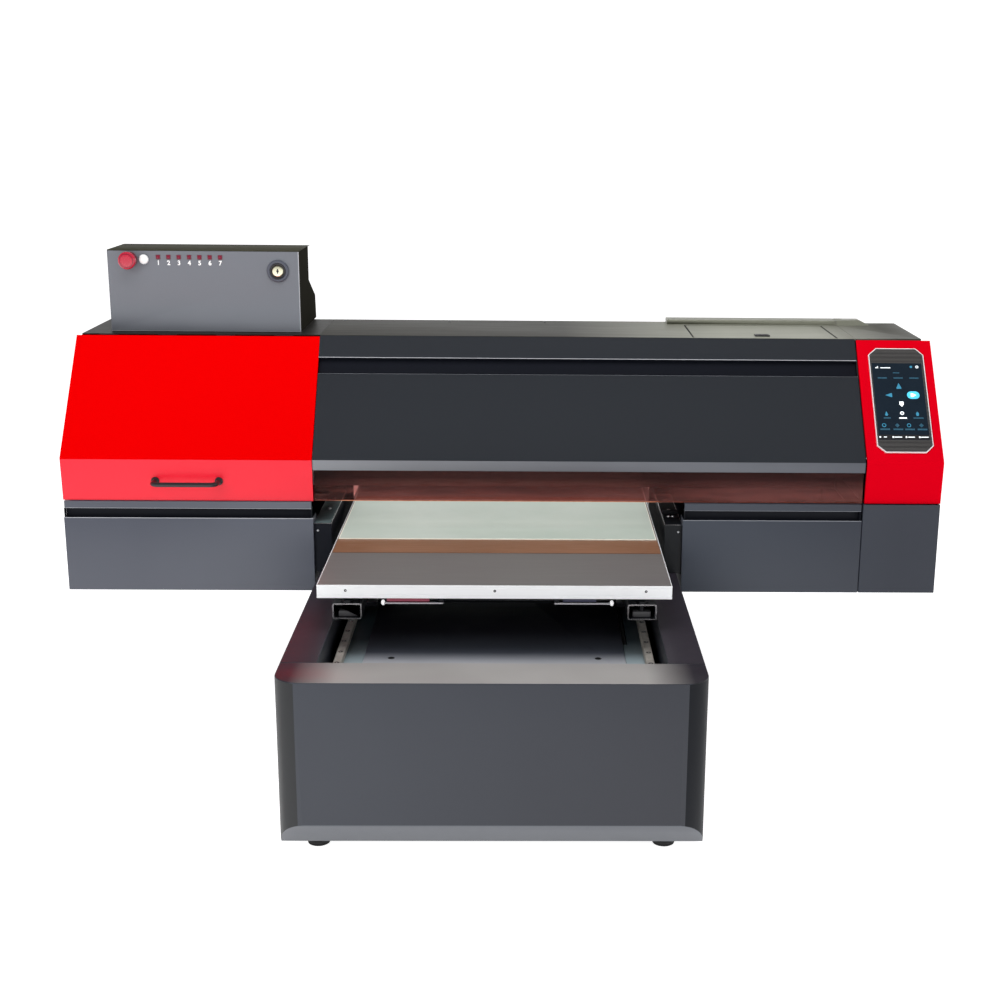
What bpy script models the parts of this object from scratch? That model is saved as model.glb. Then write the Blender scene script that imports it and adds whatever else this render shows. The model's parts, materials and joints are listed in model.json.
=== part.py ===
"""Flatbed UV printer, 6090 class: a moving print bed on a long base, under a
fixed gantry with two housings, a lifting front lid and an ink box on top.

Metres, +Z up.  X runs along the gantry (operator's right is +X), Y runs from
the operator (front) to the back.  The origin is the middle of the footprint on
the floor.  Below, positions are written as x from the middle plane of the
base, y from the front face of the base and z from the floor; place() moves
them to the origin.
"""
import math

import bmesh
import bpy
from mathutils import Matrix, Vector

# ------------------------------------------------------------- dimensions
BASE_MIDDLE_X = -0.012      # middle plane of the base, from the origin
FRONT_Y = -0.83225          # front face of the base, from the origin

BASE_HALF = 0.3787          # half width of the base
OPEN_HALF = 0.3127          # half width of the opening in its top
BASE_LEN = 1.660
BASE_BOTTOM = 0.022
RIM_Z = 0.3413              # top of the base
CAP_LEN = 0.1022            # front and rear caps
CORNER_R = 0.047
CHAMFER_Y = 0.047           # slope under the front face: depth
CHAMFER_Z = 0.0527          # and height
SHEET = 0.002               # sheet metal
GAP = 0.0003

BED_HALF = 0.3325
BED_Y0, BED_Y1 = 0.2705, 1.2505
BED_Z0, BED_Z1 = 0.4077, 0.4337

RAIL_X = 0.2905             # middle of each linear rail
RAIL_W = 0.015
BEAM_X0, BEAM_X1 = 0.2565, 0.3000
BEAM_TOP = 0.2880
RAIL_TOP = 0.3030
BELT_X0, BELT_X1 = 0.2488, 0.2548
PULLEY_R = 0.012
BELT_T = 0.0015
Y_PULLEY_Z = 0.2720
Y_IDLER_Y, Y_MOTOR_Y = 0.135, 1.525

WING_L, WING_R = -0.908, 0.932      # outer ends of the gantry housings
WING_IN = 0.3885                    # their inner ends, beside the base
FACE_Y = 0.6514                     # front face of the wings
BACK_Y = 1.1010                     # back of the gantry housing
WING_Z0, WING_Z1 = 0.3027, 0.4610   # lower panels
GROOVE_Z = 0.4810
WAIST_Z = 0.4965
NOSE = (0.6510, 0.5876)             # y, z of the fold of the sloping face
CREST = (0.8406, 0.8197)            # y, z of the fold at its top
LID_TOP = (0.7810, 0.7470)          # upper edge of the front lid
HEAD_LOW = (0.8062, 0.7770)         # lower edge of the fixed strip above it
SEAM_X = 0.7670                     # between front lid and right fascia
LIP_Z = 0.5640                      # bottom of the lid's sheet, top of shield
SHIELD_Z = 0.4975                   # bottom of the tinted shield
LEFT_IN = -0.3875                   # inner end of the left housing

GANTRY_Y0, GANTRY_Y1 = 0.943, 1.043
GANTRY_Z0, GANTRY_Z1 = 0.4615, 0.580
X_RAIL_Z0, X_RAIL_Z1 = 0.545, 0.560
PARK_X = -0.640                     # middle of the carriage when parked
HEAD_Z = 0.460                      # underside of the print heads
X_PULLEY_Z = 0.6160
X_MOTOR_X, X_IDLER_X = -0.800, 0.738
X_PULLEY_R = 0.014

INK_X0, INK_X1 = -0.8435, -0.4335
INK_Y0 = 0.8800
INK_TOP = 0.9950
INK_BASE = 0.8200
ESTOP = (-0.7962, 0.9735)
START = (-0.7646, 0.9750)
LOCK = (-0.4788, 0.9516)
LED_X0, LED_STEP, LED_COUNT, LED_Z = -0.7344, 0.0221, 7, 0.9795


def place(x, y, z):
    return Vector((x + BASE_MIDDLE_X, y + FRONT_Y, z))


# ------------------------------------------------------------- tools
for ob in list(bpy.data.objects):
    bpy.data.objects.remove(ob, do_unlink=True)

MATS = {}


def material(name, rgb, rough, metal=0.0, alpha=1.0):
    if name not in MATS:
        m = bpy.data.materials.new(name)
        m.use_nodes = True
        b = m.node_tree.nodes["Principled BSDF"]
        b.inputs["Base Color"].default_value = (*rgb, 1.0)
        b.inputs["Roughness"].default_value = rough
        b.inputs["Metallic"].default_value = metal
        b.inputs["Alpha"].default_value = alpha
        MATS[name] = m
    return MATS[name]


GREY = ("grey_coat", (0.085, 0.095, 0.115), 0.45, 0.0)
TOPGREY = ("olive_coat", (0.11, 0.11, 0.09), 0.45, 0.0)
DARK = ("dark_coat", (0.04, 0.038, 0.045), 0.5, 0.0)
RED = ("red_coat", (0.80, 0.003, 0.008), 0.4, 0.0)
STEEL = ("steel", (0.55, 0.56, 0.58), 0.35, 1.0)
ALU = ("aluminium", (0.80, 0.82, 0.82), 0.35, 0.9)
BLACK = ("black_plastic", (0.015, 0.015, 0.017), 0.5, 0.0)
RUBBER = ("rubber", (0.02, 0.02, 0.02), 0.8, 0.0)
SMOKE = ("smoked_acrylic", (0.06, 0.02, 0.02), 0.12, 0.0)
PALE = ("pale_sheet", (0.55, 0.60, 0.55), 0.5, 0.0)
WHITE = ("white_plastic", (0.85, 0.85, 0.85), 0.35, 0.0)
GLASS = ("screen_glass", (0.01, 0.015, 0.03), 0.1, 0.0)
BRASS = ("lock_core", (0.75, 0.72, 0.5), 0.4, 0.5)
DECK = ("deck_paint", (0.06, 0.062, 0.072), 0.45, 0.0)


def finish(name, bm, mat, pivot=None, smooth=False):
    """One closed mesh as an object, its origin at pivot (bench position)."""
    bmesh.ops.recalc_face_normals(bm, faces=bm.faces)
    o = place(*pivot) if pivot else Vector((0, 0, 0))
    bmesh.ops.translate(bm, verts=bm.verts, vec=-o)
    me = bpy.data.meshes.new(name)
    bm.to_mesh(me)
    bm.free()
    ob = bpy.data.objects.new(name, me)
    bpy.context.scene.collection.objects.link(ob)
    ob.location = o
    me.materials.append(material(*mat))
    if smooth:
        me.shade_smooth()
        me.set_sharp_from_angle(angle=math.radians(35))
    return ob


def bm_box(x0, x1, y0, y1, z0, z1, bevel=0.0, segments=2, axes="xyz"):
    bm = bmesh.new()
    bmesh.ops.create_cube(bm, size=1.0)
    c = place((x0 + x1) / 2, (y0 + y1) / 2, (z0 + z1) / 2)
    bmesh.ops.scale(bm, vec=(x1 - x0, y1 - y0, z1 - z0), verts=bm.verts)
    if bevel:
        edges = []
        for e in bm.edges:
            d = e.verts[0].co - e.verts[1].co
            axis = "xyz"[max(range(3), key=lambda i: abs(d[i]))]
            if axis in axes:
                edges.append(e)
        bmesh.ops.bevel(bm, geom=edges, offset=bevel, segments=segments,
                        profile=0.5, affect="EDGES", clamp_overlap=True)
    bmesh.ops.translate(bm, verts=bm.verts, vec=c)
    return bm


def bm_prism(points, a0, a1, axis):
    """A polygon pushed along an axis.  points are (y, z) for X, (x, z) for Y
    and (x, y) for Z."""
    bm = bmesh.new()
    if axis == "x":
        base = [place(a0, p, q) for p, q in points]
        top = Vector((a1 - a0, 0, 0))
    elif axis == "y":
        base = [place(p, a0, q) for p, q in points]
        top = Vector((0, a1 - a0, 0))
    else:
        base = [place(p, q, a0) for p, q in points]
        top = Vector((0, 0, a1 - a0))
    face = bm.faces.new([bm.verts.new(v) for v in base])
    out = bmesh.ops.extrude_face_region(bm, geom=[face])
    verts = [g for g in out["geom"] if isinstance(g, bmesh.types.BMVert)]
    bmesh.ops.translate(bm, verts=verts, vec=top)
    return bm


def folded(points, t, side=1.0):
    """Outline of a folded sheet: the outer line, and the same line moved in
    by the sheet's thickness, with mitred corners."""
    n = len(points)
    inner = []
    for i in range(n):
        p = Vector(points[i])
        dirs = []
        if i > 0:
            dirs.append((p - Vector(points[i - 1])).normalized())
        if i < n - 1:
            dirs.append((Vector(points[i + 1]) - p).normalized())
        norms = [Vector((-d.y, d.x)) * side for d in dirs]
        if len(norms) == 2:
            m = (norms[0] + norms[1]).normalized()
            m = m / max(m.dot(norms[0]), 0.2)
        else:
            m = norms[0]
        inner.append(tuple(p + m * t))
    return list(points) + inner[::-1]


def moved_in(points, t, side=1.0, short=0.012):
    """The same line, moved in by t, and shortened by t at its start and by
    short at its end."""
    line = folded(points, t, side)[len(points):][::-1]
    a = Vector(line[0]) + (Vector(line[1]) - Vector(line[0])).normalized() * t
    b = Vector(line[-1]) + (Vector(line[-2]) - Vector(line[-1])).normalized() * short
    return [tuple(a)] + line[1:-1] + [tuple(b)]


def bm_turn(profile, centre, axis, segments=24):
    """A solid turned about an axis: profile is (radius, height) from one end
    to the other, starting and ending on the axis."""
    bm = bmesh.new()
    c = place(*centre)
    rows = []
    for r, h in profile:
        if r < 1e-7:
            rows.append([bm.verts.new((0, 0, h))])
        else:
            rows.append([bm.verts.new((r * math.cos(2 * math.pi * k / segments),
                                       r * math.sin(2 * math.pi * k / segments), h))
                         for k in range(segments)])
    for a, b in zip(rows, rows[1:]):
        for k in range(segments):
            k2 = (k + 1) % segments
            ring = []
            for v in (a[k % len(a)], a[k2 % len(a)], b[k2 % len(b)], b[k % len(b)]):
                if v not in ring:
                    ring.append(v)
            if len(ring) > 2:
                bm.faces.new(ring)
    turn = {"z": Matrix.Identity(4),
            "y": Matrix.Rotation(math.radians(-90), 4, "X"),
            "x": Matrix.Rotation(math.radians(90), 4, "Y")}[axis]
    bmesh.ops.transform(bm, matrix=Matrix.Translation(c) @ turn, verts=bm.verts)
    return bm


def cutter(name, bm):
    ob = finish("cut_" + name, bm, DARK)
    ob.hide_render = True
    ob.display_type = "WIRE"
    return ob


def boolean(ob, other, kind="DIFFERENCE"):
    m = ob.modifiers.new(kind.lower(), "BOOLEAN")
    m.operation = kind
    m.solver = "EXACT"
    m.object = other
    return ob


def cut(ob, bm):
    return boolean(ob, cutter(ob.name, bm))


def join(ob, bm):
    return boolean(ob, cutter(ob.name, bm), "UNION")


def box(name, x0, x1, y0, y1, z0, z1, mat, bevel=0.0, axes="xyz", pivot=None, segments=2):
    return finish(name, bm_box(x0, x1, y0, y1, z0, z1, bevel, segments, axes), mat, pivot, smooth=bevel > 0)


# ------------------------------------------------------------- the base
def cap_outline(inset, y0, y1, front):
    """Plan of an end cap: straight sides with two rounded outer corners."""
    r = CORNER_R - inset
    hx = BASE_HALF - inset
    pts = []
    steps = 8
    if front:
        yc = y0 + CORNER_R
        cx = hx - r
        pts.append((-hx, y1))
        for k in range(steps + 1):
            a = math.radians(180 + 90 * k / steps)
            pts.append((-cx + r * math.cos(a), yc + r * math.sin(a)))
        for k in range(steps + 1):
            a = math.radians(270 + 90 * k / steps)
            pts.append((cx + r * math.cos(a), yc + r * math.sin(a)))
        pts.append((hx, y1))
    else:
        yc = y1 - CORNER_R
        cx = hx - r
        pts.append((hx, y0))
        for k in range(steps + 1):
            a = math.radians(90 * k / steps)
            pts.append((cx + r * math.cos(a), yc + r * math.sin(a)))
        for k in range(steps + 1):
            a = math.radians(90 + 90 * k / steps)
            pts.append((-cx + r * math.cos(a), yc + r * math.sin(a)))
        pts.append((-hx, y0))
    return pts


def chamfered(bm, inset):
    """Slope the lower front edge of a cap; the sheet's inner face is inset."""
    n = Vector((0, -CHAMFER_Z, -CHAMFER_Y)).normalized()
    co = place(0, 0, BASE_BOTTOM + CHAMFER_Z) - n * inset
    bmesh.ops.bisect_plane(bm, geom=bm.verts[:] + bm.edges[:] + bm.faces[:], plane_co=co,
                           plane_no=n, clear_outer=True)
    edges = [e for e in bm.edges if e.is_boundary]
    bmesh.ops.holes_fill(bm, edges=edges, sides=0)
    return bm


cap = finish("base_front_cap",
             chamfered(bm_prism(cap_outline(0, 0, CAP_LEN, True), BASE_BOTTOM, RIM_Z, "z"), 0), GREY, smooth=True)
cut(cap, chamfered(bm_prism(cap_outline(SHEET, 0, CAP_LEN + 0.02, True), BASE_BOTTOM - 0.01, RIM_Z - SHEET, "z"),
                   SHEET))

for side, name in ((-1, "base_side_left"), (1, "base_side_right")):
    s = side
    outline = [(s * OPEN_HALF, 0.250), (s * OPEN_HALF, RIM_Z), (s * BASE_HALF, RIM_Z), (s * BASE_HALF, BASE_BOTTOM),
               (s * (BASE_HALF - SHEET), BASE_BOTTOM), (s * (BASE_HALF - SHEET), RIM_Z - SHEET),
               (s * (OPEN_HALF + SHEET), RIM_Z - SHEET), (s * (OPEN_HALF + SHEET), 0.250)]
    finish(name, bm_prism(outline, CAP_LEN + 0.0005, BASE_LEN - CAP_LEN - 0.0005, "y"), GREY)

rear = finish("base_rear_cap", bm_prism(cap_outline(0, BASE_LEN - CAP_LEN, BASE_LEN, False), BASE_BOTTOM, RIM_Z, "z"),
              GREY, smooth=True)
cut(rear, bm_prism(cap_outline(SHEET, BASE_LEN - CAP_LEN - 0.02, BASE_LEN, False), BASE_BOTTOM - 0.01,
                   RIM_Z - SHEET, "z"))
INLET_X, SWITCH_X, SOCKET_Z = -0.260, -0.200, 0.110
cut(rear, bm_box(INLET_X - 0.0145, INLET_X + 0.0145, BASE_LEN - 0.02, BASE_LEN + 0.01, SOCKET_Z - 0.0115,
                 SOCKET_Z + 0.0115))
cut(rear, bm_box(SWITCH_X - 0.0105, SWITCH_X + 0.0105, BASE_LEN - 0.02, BASE_LEN + 0.01, SOCKET_Z - 0.0158,
                 SOCKET_Z + 0.0158))

# mains inlet: a flanged shroud with its pins on a ridge inside, and a rocker
inlet = box("power_inlet", INLET_X - 0.0140, INLET_X + 0.0140, BASE_LEN - 0.018, BASE_LEN + GAP,
            SOCKET_Z - 0.0110, SOCKET_Z + 0.0110, BLACK)
join(inlet, bm_box(INLET_X - 0.020, INLET_X + 0.020, BASE_LEN + GAP, BASE_LEN + 0.003, SOCKET_Z - 0.016,
                   SOCKET_Z + 0.016, 0.003, 2, "y"))
cut(inlet, bm_box(INLET_X - 0.0115, INLET_X + 0.0115, BASE_LEN - 0.014, BASE_LEN + 0.01, SOCKET_Z - 0.0085,
                  SOCKET_Z + 0.0085))
rocker = [(BASE_LEN - 0.008, SOCKET_Z - 0.0125), (BASE_LEN - 0.008, SOCKET_Z + 0.0125),
          (BASE_LEN + 0.0015, SOCKET_Z + 0.0130), (BASE_LEN + 0.0010, SOCKET_Z),
          (BASE_LEN + 0.0045, SOCKET_Z - 0.0128)]
finish("power_switch", bm_prism(rocker, SWITCH_X - 0.0095, SWITCH_X + 0.0095, "x"), BLACK,
       pivot=(SWITCH_X, BASE_LEN - 0.004, SOCKET_Z))

# welded chassis: floor pan, four posts, two machined beams, three cross tubes
CROSS_Z0, CROSS_Z1 = 0.200, 0.2437
frame = box("chassis_frame", -0.3755, 0.3755, 0.054, 1.606, 0.0225, 0.0265, DARK)
for s in (-1, 1):
    x0, x1 = sorted((s * BEAM_X0, s * BEAM_X1))
    join(frame, bm_box(x0, x1, 0.108, 1.5565, CROSS_Z0, BEAM_TOP))
    for y in (0.110, 0.810, 1.505):
        join(frame, bm_box(x0, x1, y, y + 0.045, 0.0260, CROSS_Z0 + 0.001))
for y in (0.110, 0.810, 1.505):
    join(frame, bm_box(-BEAM_X0 - 0.001, BEAM_X0 + 0.001, y, y + 0.045, CROSS_Z0 + 0.0003, CROSS_Z1))

# deck between the rails: a plate with folded sides standing on the cross tubes
deck = [(-0.2475, CROSS_Z1 + GAP), (-0.2475, 0.2904), (0.2475, 0.2904), (0.2475, CROSS_Z1 + GAP),
        (0.2455, CROSS_Z1 + GAP), (0.2455, 0.2884), (-0.2455, 0.2884), (-0.2455, CROSS_Z1 + GAP)]
dk = finish("deck_plate", bm_prism(deck, 0.160, 1.470, "y"), DECK)
for x in (-0.1955, 0.1955):
    cut(dk, bm_turn([(0, 0.26), (0.005, 0.26), (0.005, 0.30), (0, 0.30)], (x, 0.268, 0), "z", 16))

for i, (x, y) in enumerate(((-0.3165, 0.088), (0.3115, 0.088), (-0.3165, 1.572), (0.3115, 1.572))):
    name = ("foot_front_left", "foot_front_right", "foot_rear_left", "foot_rear_right")[i]
    finish(name, bm_turn([(0, 0), (0.0185, 0), (0.0205, 0.002), (0.0205, 0.013), (0.0180, 0.0155), (0.0075, 0.0160),
                          (0.0075, 0.0222), (0, 0.0222)], (x, y, 0), "z", 24), RUBBER, smooth=True)

for s, name in ((-1, "rail_left"), (1, "rail_right")):
    h = RAIL_W / 2
    c = s * RAIL_X
    prof = [(c - h, BEAM_TOP + GAP), (c + h, BEAM_TOP + GAP), (c + h, 0.2945), (c + h - 0.002, 0.2965),
            (c + h - 0.002, 0.2985), (c + h, 0.3005), (c + h, RAIL_TOP - 0.001), (c + h - 0.001, RAIL_TOP),
            (c - h + 0.001, RAIL_TOP), (c - h, RAIL_TOP - 0.001), (c - h, 0.3005), (c - h + 0.002, 0.2985),
            (c - h + 0.002, 0.2965), (c - h, 0.2945)]
    finish(name, bm_prism(prof, 0.118, 1.550, "y"), STEEL)


# ------------------------------------------------------------- bed drive
def loop_outline(a0, a1, b, r, steps=12):
    """A stadium: two half circles of radius r about (a0, b) and (a1, b)."""
    pts = []
    for k in range(steps + 1):
        t = math.radians(90 + 180 * k / steps)
        pts.append((a0 + r * math.cos(t), b + r * math.sin(t)))
    for k in range(steps + 1):
        t = math.radians(-90 + 180 * k / steps)
        pts.append((a1 + r * math.cos(t), b + r * math.sin(t)))
    return pts


yb = finish("y_belt", bm_prism(loop_outline(Y_IDLER_Y, Y_MOTOR_Y, Y_PULLEY_Z, PULLEY_R + BELT_T), BELT_X0, BELT_X1,
                               "x"), RUBBER, smooth=True)
cut(yb, bm_prism(loop_outline(Y_IDLER_Y, Y_MOTOR_Y, Y_PULLEY_Z, PULLEY_R + 0.0001), BELT_X0 - 0.01, BELT_X1 + 0.01,
                 "x"))
pulley = [(0, 0), (PULLEY_R - 0.0004, 0), (PULLEY_R - 0.0004, 0.0052), (0.006, 0.0054), (0.006, 0.0070), (0, 0.0070)]
finish("y_idler_pulley", bm_turn(pulley, (BELT_X0 + 0.0004, Y_IDLER_Y, Y_PULLEY_Z), "x", 24), STEEL,
       pivot=(0.252, Y_IDLER_Y, Y_PULLEY_Z), smooth=True)
pulley_m = [(0, -0.0090), (0.005, -0.0090), (0.005, 0), (PULLEY_R - 0.0004, 0), (PULLEY_R - 0.0004, 0.0052),
            (0, 0.0052)]
finish("y_motor_pulley", bm_turn(pulley_m, (BELT_X0 + 0.0004, Y_MOTOR_Y, Y_PULLEY_Z), "x", 24), STEEL,
       pivot=(0.252, Y_MOTOR_Y, Y_PULLEY_Z), smooth=True)
box("y_motor", 0.150, 0.2398, Y_MOTOR_Y - 0.028, Y_MOTOR_Y + 0.028, Y_PULLEY_Z - 0.028, Y_PULLEY_Z + 0.028, BLACK,
    0.004, "x")

# saddle: two side plates on bearing blocks, bridged by a thinner plate
BLOCK_Y = (0.5305, 1.0105)
POST_Y = (0.600, 0.940)
POST_X = 0.268
SAD_Z0, SAD_Z1 = 0.3185, 0.3265
sd = box("bed_saddle", -0.2440, 0.2440, 0.520, 1.020, SAD_Z0 + 0.001, SAD_Z1 - 0.002, DARK)
for s in (-1, 1):
    x0, x1 = sorted((s * 0.2430, s * 0.3080))
    join(sd, bm_box(x0, x1, 0.498, 1.043, SAD_Z0, SAD_Z1))
    for y in BLOCK_Y:
        bx0, bx1 = sorted((s * 0.2740, s * 0.3070))
        join(sd, bm_box(bx0, bx1, y - 0.030, y + 0.030, RAIL_TOP + 0.0004, SAD_Z0 + 0.001))
    for y in POST_Y:
        join(sd, bm_turn([(0, SAD_Z1 - 0.001), (0.0135, SAD_Z1 - 0.001), (0.0135, 0.3345), (0, 0.3345)],
                         (s * POST_X, y, 0), "z", 16))
        cut(sd, bm_turn([(0, 0.30), (0.0085, 0.30), (0.0085, 0.34), (0, 0.34)], (s * POST_X, y, 0), "z", 16))
join(sd, bm_box(BELT_X0 - 0.0003, BELT_X1 + 0.0003, 0.750, 0.790, Y_PULLEY_Z + PULLEY_R + BELT_T + GAP,
                SAD_Z0 + 0.001))

# ------------------------------------------------------------- the bed
box("bed_plate", -BED_HALF, BED_HALF, BED_Y0, BED_Y1, BED_Z0, BED_Z1, ALU, 0.0008, "xyz", segments=1)
box("bed_sheet", -0.3290, 0.3290, 0.4880, 0.9500, BED_Z1 + GAP, BED_Z1 + 0.0015, PALE)
for s, name in ((-1, "bed_tube_left"), (1, "bed_tube_right")):
    c = s * 0.277
    tube = finish(name, bm_box(c - 0.0275, c + 0.0275, BED_Y0 + 0.002, 1.246, 0.3660, 0.3970, 0.003, 2, "y"), DARK,
                  smooth=True)
    cut(tube, bm_box(c - 0.0250, c + 0.0250, BED_Y0 - 0.05, 1.30, 0.3685, 0.3945, 0.0015, 1, "y"))
    for y in (BED_Y0 + 0.024, 1.220):
        join(tube, bm_turn([(0, 0.3955), (0.0075, 0.3955), (0.0075, BED_Z0 - GAP), (0, BED_Z0 - GAP)], (c, y, 0),
                           "z", 12))
    for y in POST_Y:
        join(tube, bm_turn([(0, 0.3205), (0.0075, 0.3205), (0.0075, 0.3675), (0, 0.3675)], (s * POST_X, y, 0), "z",
                           16))

# vacuum valves under the front edge: a hub with a thin lever and a ball end
for s, name, xh, xe in ((-1, "vacuum_lever_left", -0.1010, -0.2095), (1, "vacuum_lever_right", 0.1160, 0.2170)):
    yv = BED_Y0 + 0.0145
    hub = finish(name, bm_turn([(0, 0.3890), (0.0080, 0.3890), (0.0090, 0.3900), (0.0090, BED_Z0 - GAP),
                                (0, BED_Z0 - GAP)], (xh, yv, 0), "z", 20), STEEL, pivot=(xh, yv, 0.4), smooth=True)
    d = 1 if xe > xh else -1
    join(hub, bm_turn([(0, 0), (0.0032, 0), (0.0032, abs(xe - xh) - 0.007), (0, abs(xe - xh) - 0.007)]
                      if d > 0 else
                      [(0, -abs(xe - xh) + 0.007), (0.0032, -abs(xe - xh) + 0.007), (0.0032, 0), (0, 0)],
                      (xh, yv, 0.3955), "x", 12))
    ball = bmesh.new()
    bmesh.ops.create_uvsphere(ball, u_segments=12, v_segments=8, radius=0.0060)
    bmesh.ops.translate(ball, verts=ball.verts, vec=place(xe - d * 0.006, yv, 0.3955))
    join(hub, ball)

# ------------------------------------------------------------- the gantry
for s, name in ((-1, "gantry_leg_left"), (1, "gantry_leg_right")):
    prof = [(0.6600, RIM_Z + GAP), (0.6600, 0.4490), (0.9360, 0.4490), (0.9360, GANTRY_Z0 - GAP),
            (1.0900, GANTRY_Z0 - GAP), (1.0900, RIM_Z + GAP)]
    x0, x1 = sorted((s * 0.3515, s * 0.3878))
    finish(name, bm_prism(prof, x0, x1, "x"), DARK)

# the beam, with the carriage's rail and the idler's bracket on it
gantry = box("gantry_beam", -0.840, 0.7640, GANTRY_Y0, GANTRY_Y1, GANTRY_Z0, GANTRY_Z1, STEEL, 0.004, "x")
cut(gantry, bm_box(-0.90, 0.90, GANTRY_Y0 + 0.005, GANTRY_Y1 - 0.005, GANTRY_Z0 + 0.005, GANTRY_Z1 - 0.005))
join(gantry, bm_box(-0.835, 0.7590, 0.9285, GANTRY_Y0 + 0.001, X_RAIL_Z0, X_RAIL_Z1))
join(gantry, bm_box(X_IDLER_X - 0.018, X_IDLER_X + 0.018, GANTRY_Y0 + 0.0005, GANTRY_Y0 + 0.006, GANTRY_Z1 - 0.001,
                    X_PULLEY_Z + 0.020))

xb = finish("x_belt", bm_prism([(x, z) for x, z in loop_outline(X_MOTOR_X, X_IDLER_X, X_PULLEY_Z,
                                                                X_PULLEY_R + BELT_T)], 0.9190, 0.9280, "y"),
            RUBBER, smooth=True)
cut(xb, bm_prism(loop_outline(X_MOTOR_X, X_IDLER_X, X_PULLEY_Z, X_PULLEY_R + 0.0001), 0.90, 0.94, "y"))
xp = [(0, 0), (X_PULLEY_R - 0.0004, 0), (X_PULLEY_R - 0.0004, 0.0090), (0.005, 0.0090), (0.005, 0.0160), (0, 0.0160)]
finish("x_idler_pulley", bm_turn(xp[:-3] + [(0.005, 0.0090), (0.005, 0.0238), (0, 0.0238)],
                                 (X_IDLER_X, 0.9190, X_PULLEY_Z), "y", 24), STEEL,
       pivot=(X_IDLER_X, 0.9235, X_PULLEY_Z), smooth=True)
finish("x_motor_pulley", bm_turn(xp, (X_MOTOR_X, 0.9190, X_PULLEY_Z), "y", 24), STEEL,
       pivot=(X_MOTOR_X, 0.9235, X_PULLEY_Z), smooth=True)
box("x_motor", X_MOTOR_X - 0.028, X_MOTOR_X + 0.028, 0.9360, 1.016, GANTRY_Z1 + GAP, GANTRY_Z1 + 0.0563, BLACK,
    0.004, "y")

# carriage: back plate with its bearing, the head block and two lamps
c = PARK_X
body = box("carriage_body", c - 0.100, c + 0.100, 0.7700, 0.8980, HEAD_Z, 0.6900, BLACK, 0.006, "z")
join(body, bm_box(c - 0.120, c + 0.120, 0.8970, 0.9060, HEAD_Z + 0.010, 0.6960))
join(body, bm_box(c - 0.060, c + 0.060, 0.9050, 0.9281, X_RAIL_Z0 - 0.010, X_RAIL_Z1 + 0.010))
join(body, bm_box(c - 0.020, c + 0.020, 0.9050, 0.9187, X_PULLEY_Z - X_PULLEY_R - 0.006,
                  X_PULLEY_Z - X_PULLEY_R + 0.006))
for s, name in ((-1, "uv_lamp_left"), (1, "uv_lamp_right")):
    x0, x1 = sorted((c + s * 0.1004, c + s * 0.1350))
    box(name, x0, x1, 0.7800, 0.8900, HEAD_Z + 0.006, 0.5900, ALU, 0.002, "z")

# capping tray under the parked heads
cap_tray = box("cap_tray", c - 0.075, c + 0.075, 0.7820, 0.8920, 0.4300, HEAD_Z - 0.0005, BLACK)
for x in (-0.036, 0.036):
    cut(cap_tray, bm_box(c + x - 0.026, c + x + 0.026, 0.7920, 0.8820, 0.4480, 0.4800))

# ------------------------------------------------------------- the wings
def wing_tray(name, x0, x1, y0, y1, z1, mat):
    ob = box(name, x0, x1, y0, y1, WING_Z0, z1, mat)
    cut(ob, bm_box(x0 + SHEET, x1 - SHEET, y0 + SHEET, y1 - SHEET, WING_Z0 + SHEET, z1 + 0.05))
    return ob


def waist(x0, x1):
    """The band above a tray: a flush strip over a recessed groove."""
    pts = [(0.6660, WAIST_Z), (FACE_Y, WAIST_Z), (FACE_Y, GROOVE_Z), (FACE_Y + 0.012, GROOVE_Z),
           (FACE_Y + 0.012, WING_Z1 - 0.012)]
    return bm_prism(folded(pts, SHEET, 1.0), x0, x1, "x")


lw = wing_tray("left_wing_tray", WING_L, -WING_IN, FACE_Y, 1.1000, WING_Z1, GREY)
join(lw, bm_box(PARK_X - 0.085, PARK_X + 0.085, 0.7750, 0.9000, WING_Z0 + 0.001, 0.4140))
# both inner walls are cut down where the heads pass over them
cut(lw, bm_box(-WING_IN - 0.010, -WING_IN + 0.010, 0.7000, 0.9400, 0.4440, 0.5000))
finish("left_waist_band", waist(WING_L + 0.0025, -WING_IN - 0.0025), GREY)
rw = wing_tray("right_wing_tray", WING_IN, SEAM_X - 0.0005, FACE_Y, 1.1000, WING_Z1, GREY)
cut(rw, bm_box(WING_IN - 0.010, WING_IN + 0.010, 0.7000, 0.9400, 0.4440, 0.5000))
finish("right_waist_band", waist(WING_IN + 0.0025, SEAM_X - 0.003), GREY)
re_ = wing_tray("right_end_tray", SEAM_X + 0.0010, 0.9305, FACE_Y, 1.1000, WAIST_Z, GREY)

# left housing behind the flap: side, top and back
LH_X = -0.8980
lh = finish("left_housing", bm_prism([(0.6670, WING_Z1 + 0.0030), (0.6670, 0.5970), (0.8440, 0.8137), (0.8440, 0.8197),
                                      (BACK_Y, 0.8197), (BACK_Y, WING_Z1 + 0.0030)], LH_X, LH_X + SHEET, "x"), TOPGREY)
join(lh, bm_box(LH_X + 0.001, LEFT_IN - 0.0003, 0.8440, BACK_Y, 0.8197 - SHEET, 0.8197))
join(lh, bm_box(LH_X + 0.001, LEFT_IN - 0.0003, BACK_Y - SHEET, BACK_Y, WING_Z1 + 0.0030, 0.8190))

# red flap: sloping face and lower band, hinged along its top edge
FLAP_HINGE = (0.8412, 0.8180)
flap_line = [(0.6560, WAIST_Z + 0.0010), (NOSE[0], NOSE[1]), (0.8383, 0.8170)]
flap = finish("left_flap", bm_prism(folded(flap_line, 0.0022, -1.0), WING_L, LEFT_IN, "x"), RED,
              pivot=(-0.6477, *FLAP_HINGE))
for x in (WING_L + 0.0003, LEFT_IN - 0.0021):
    join(flap, bm_prism(folded(moved_in(flap_line, 0.0008, -1.0), 0.0070, -1.0), x, x + 0.0018, "x"))

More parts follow.
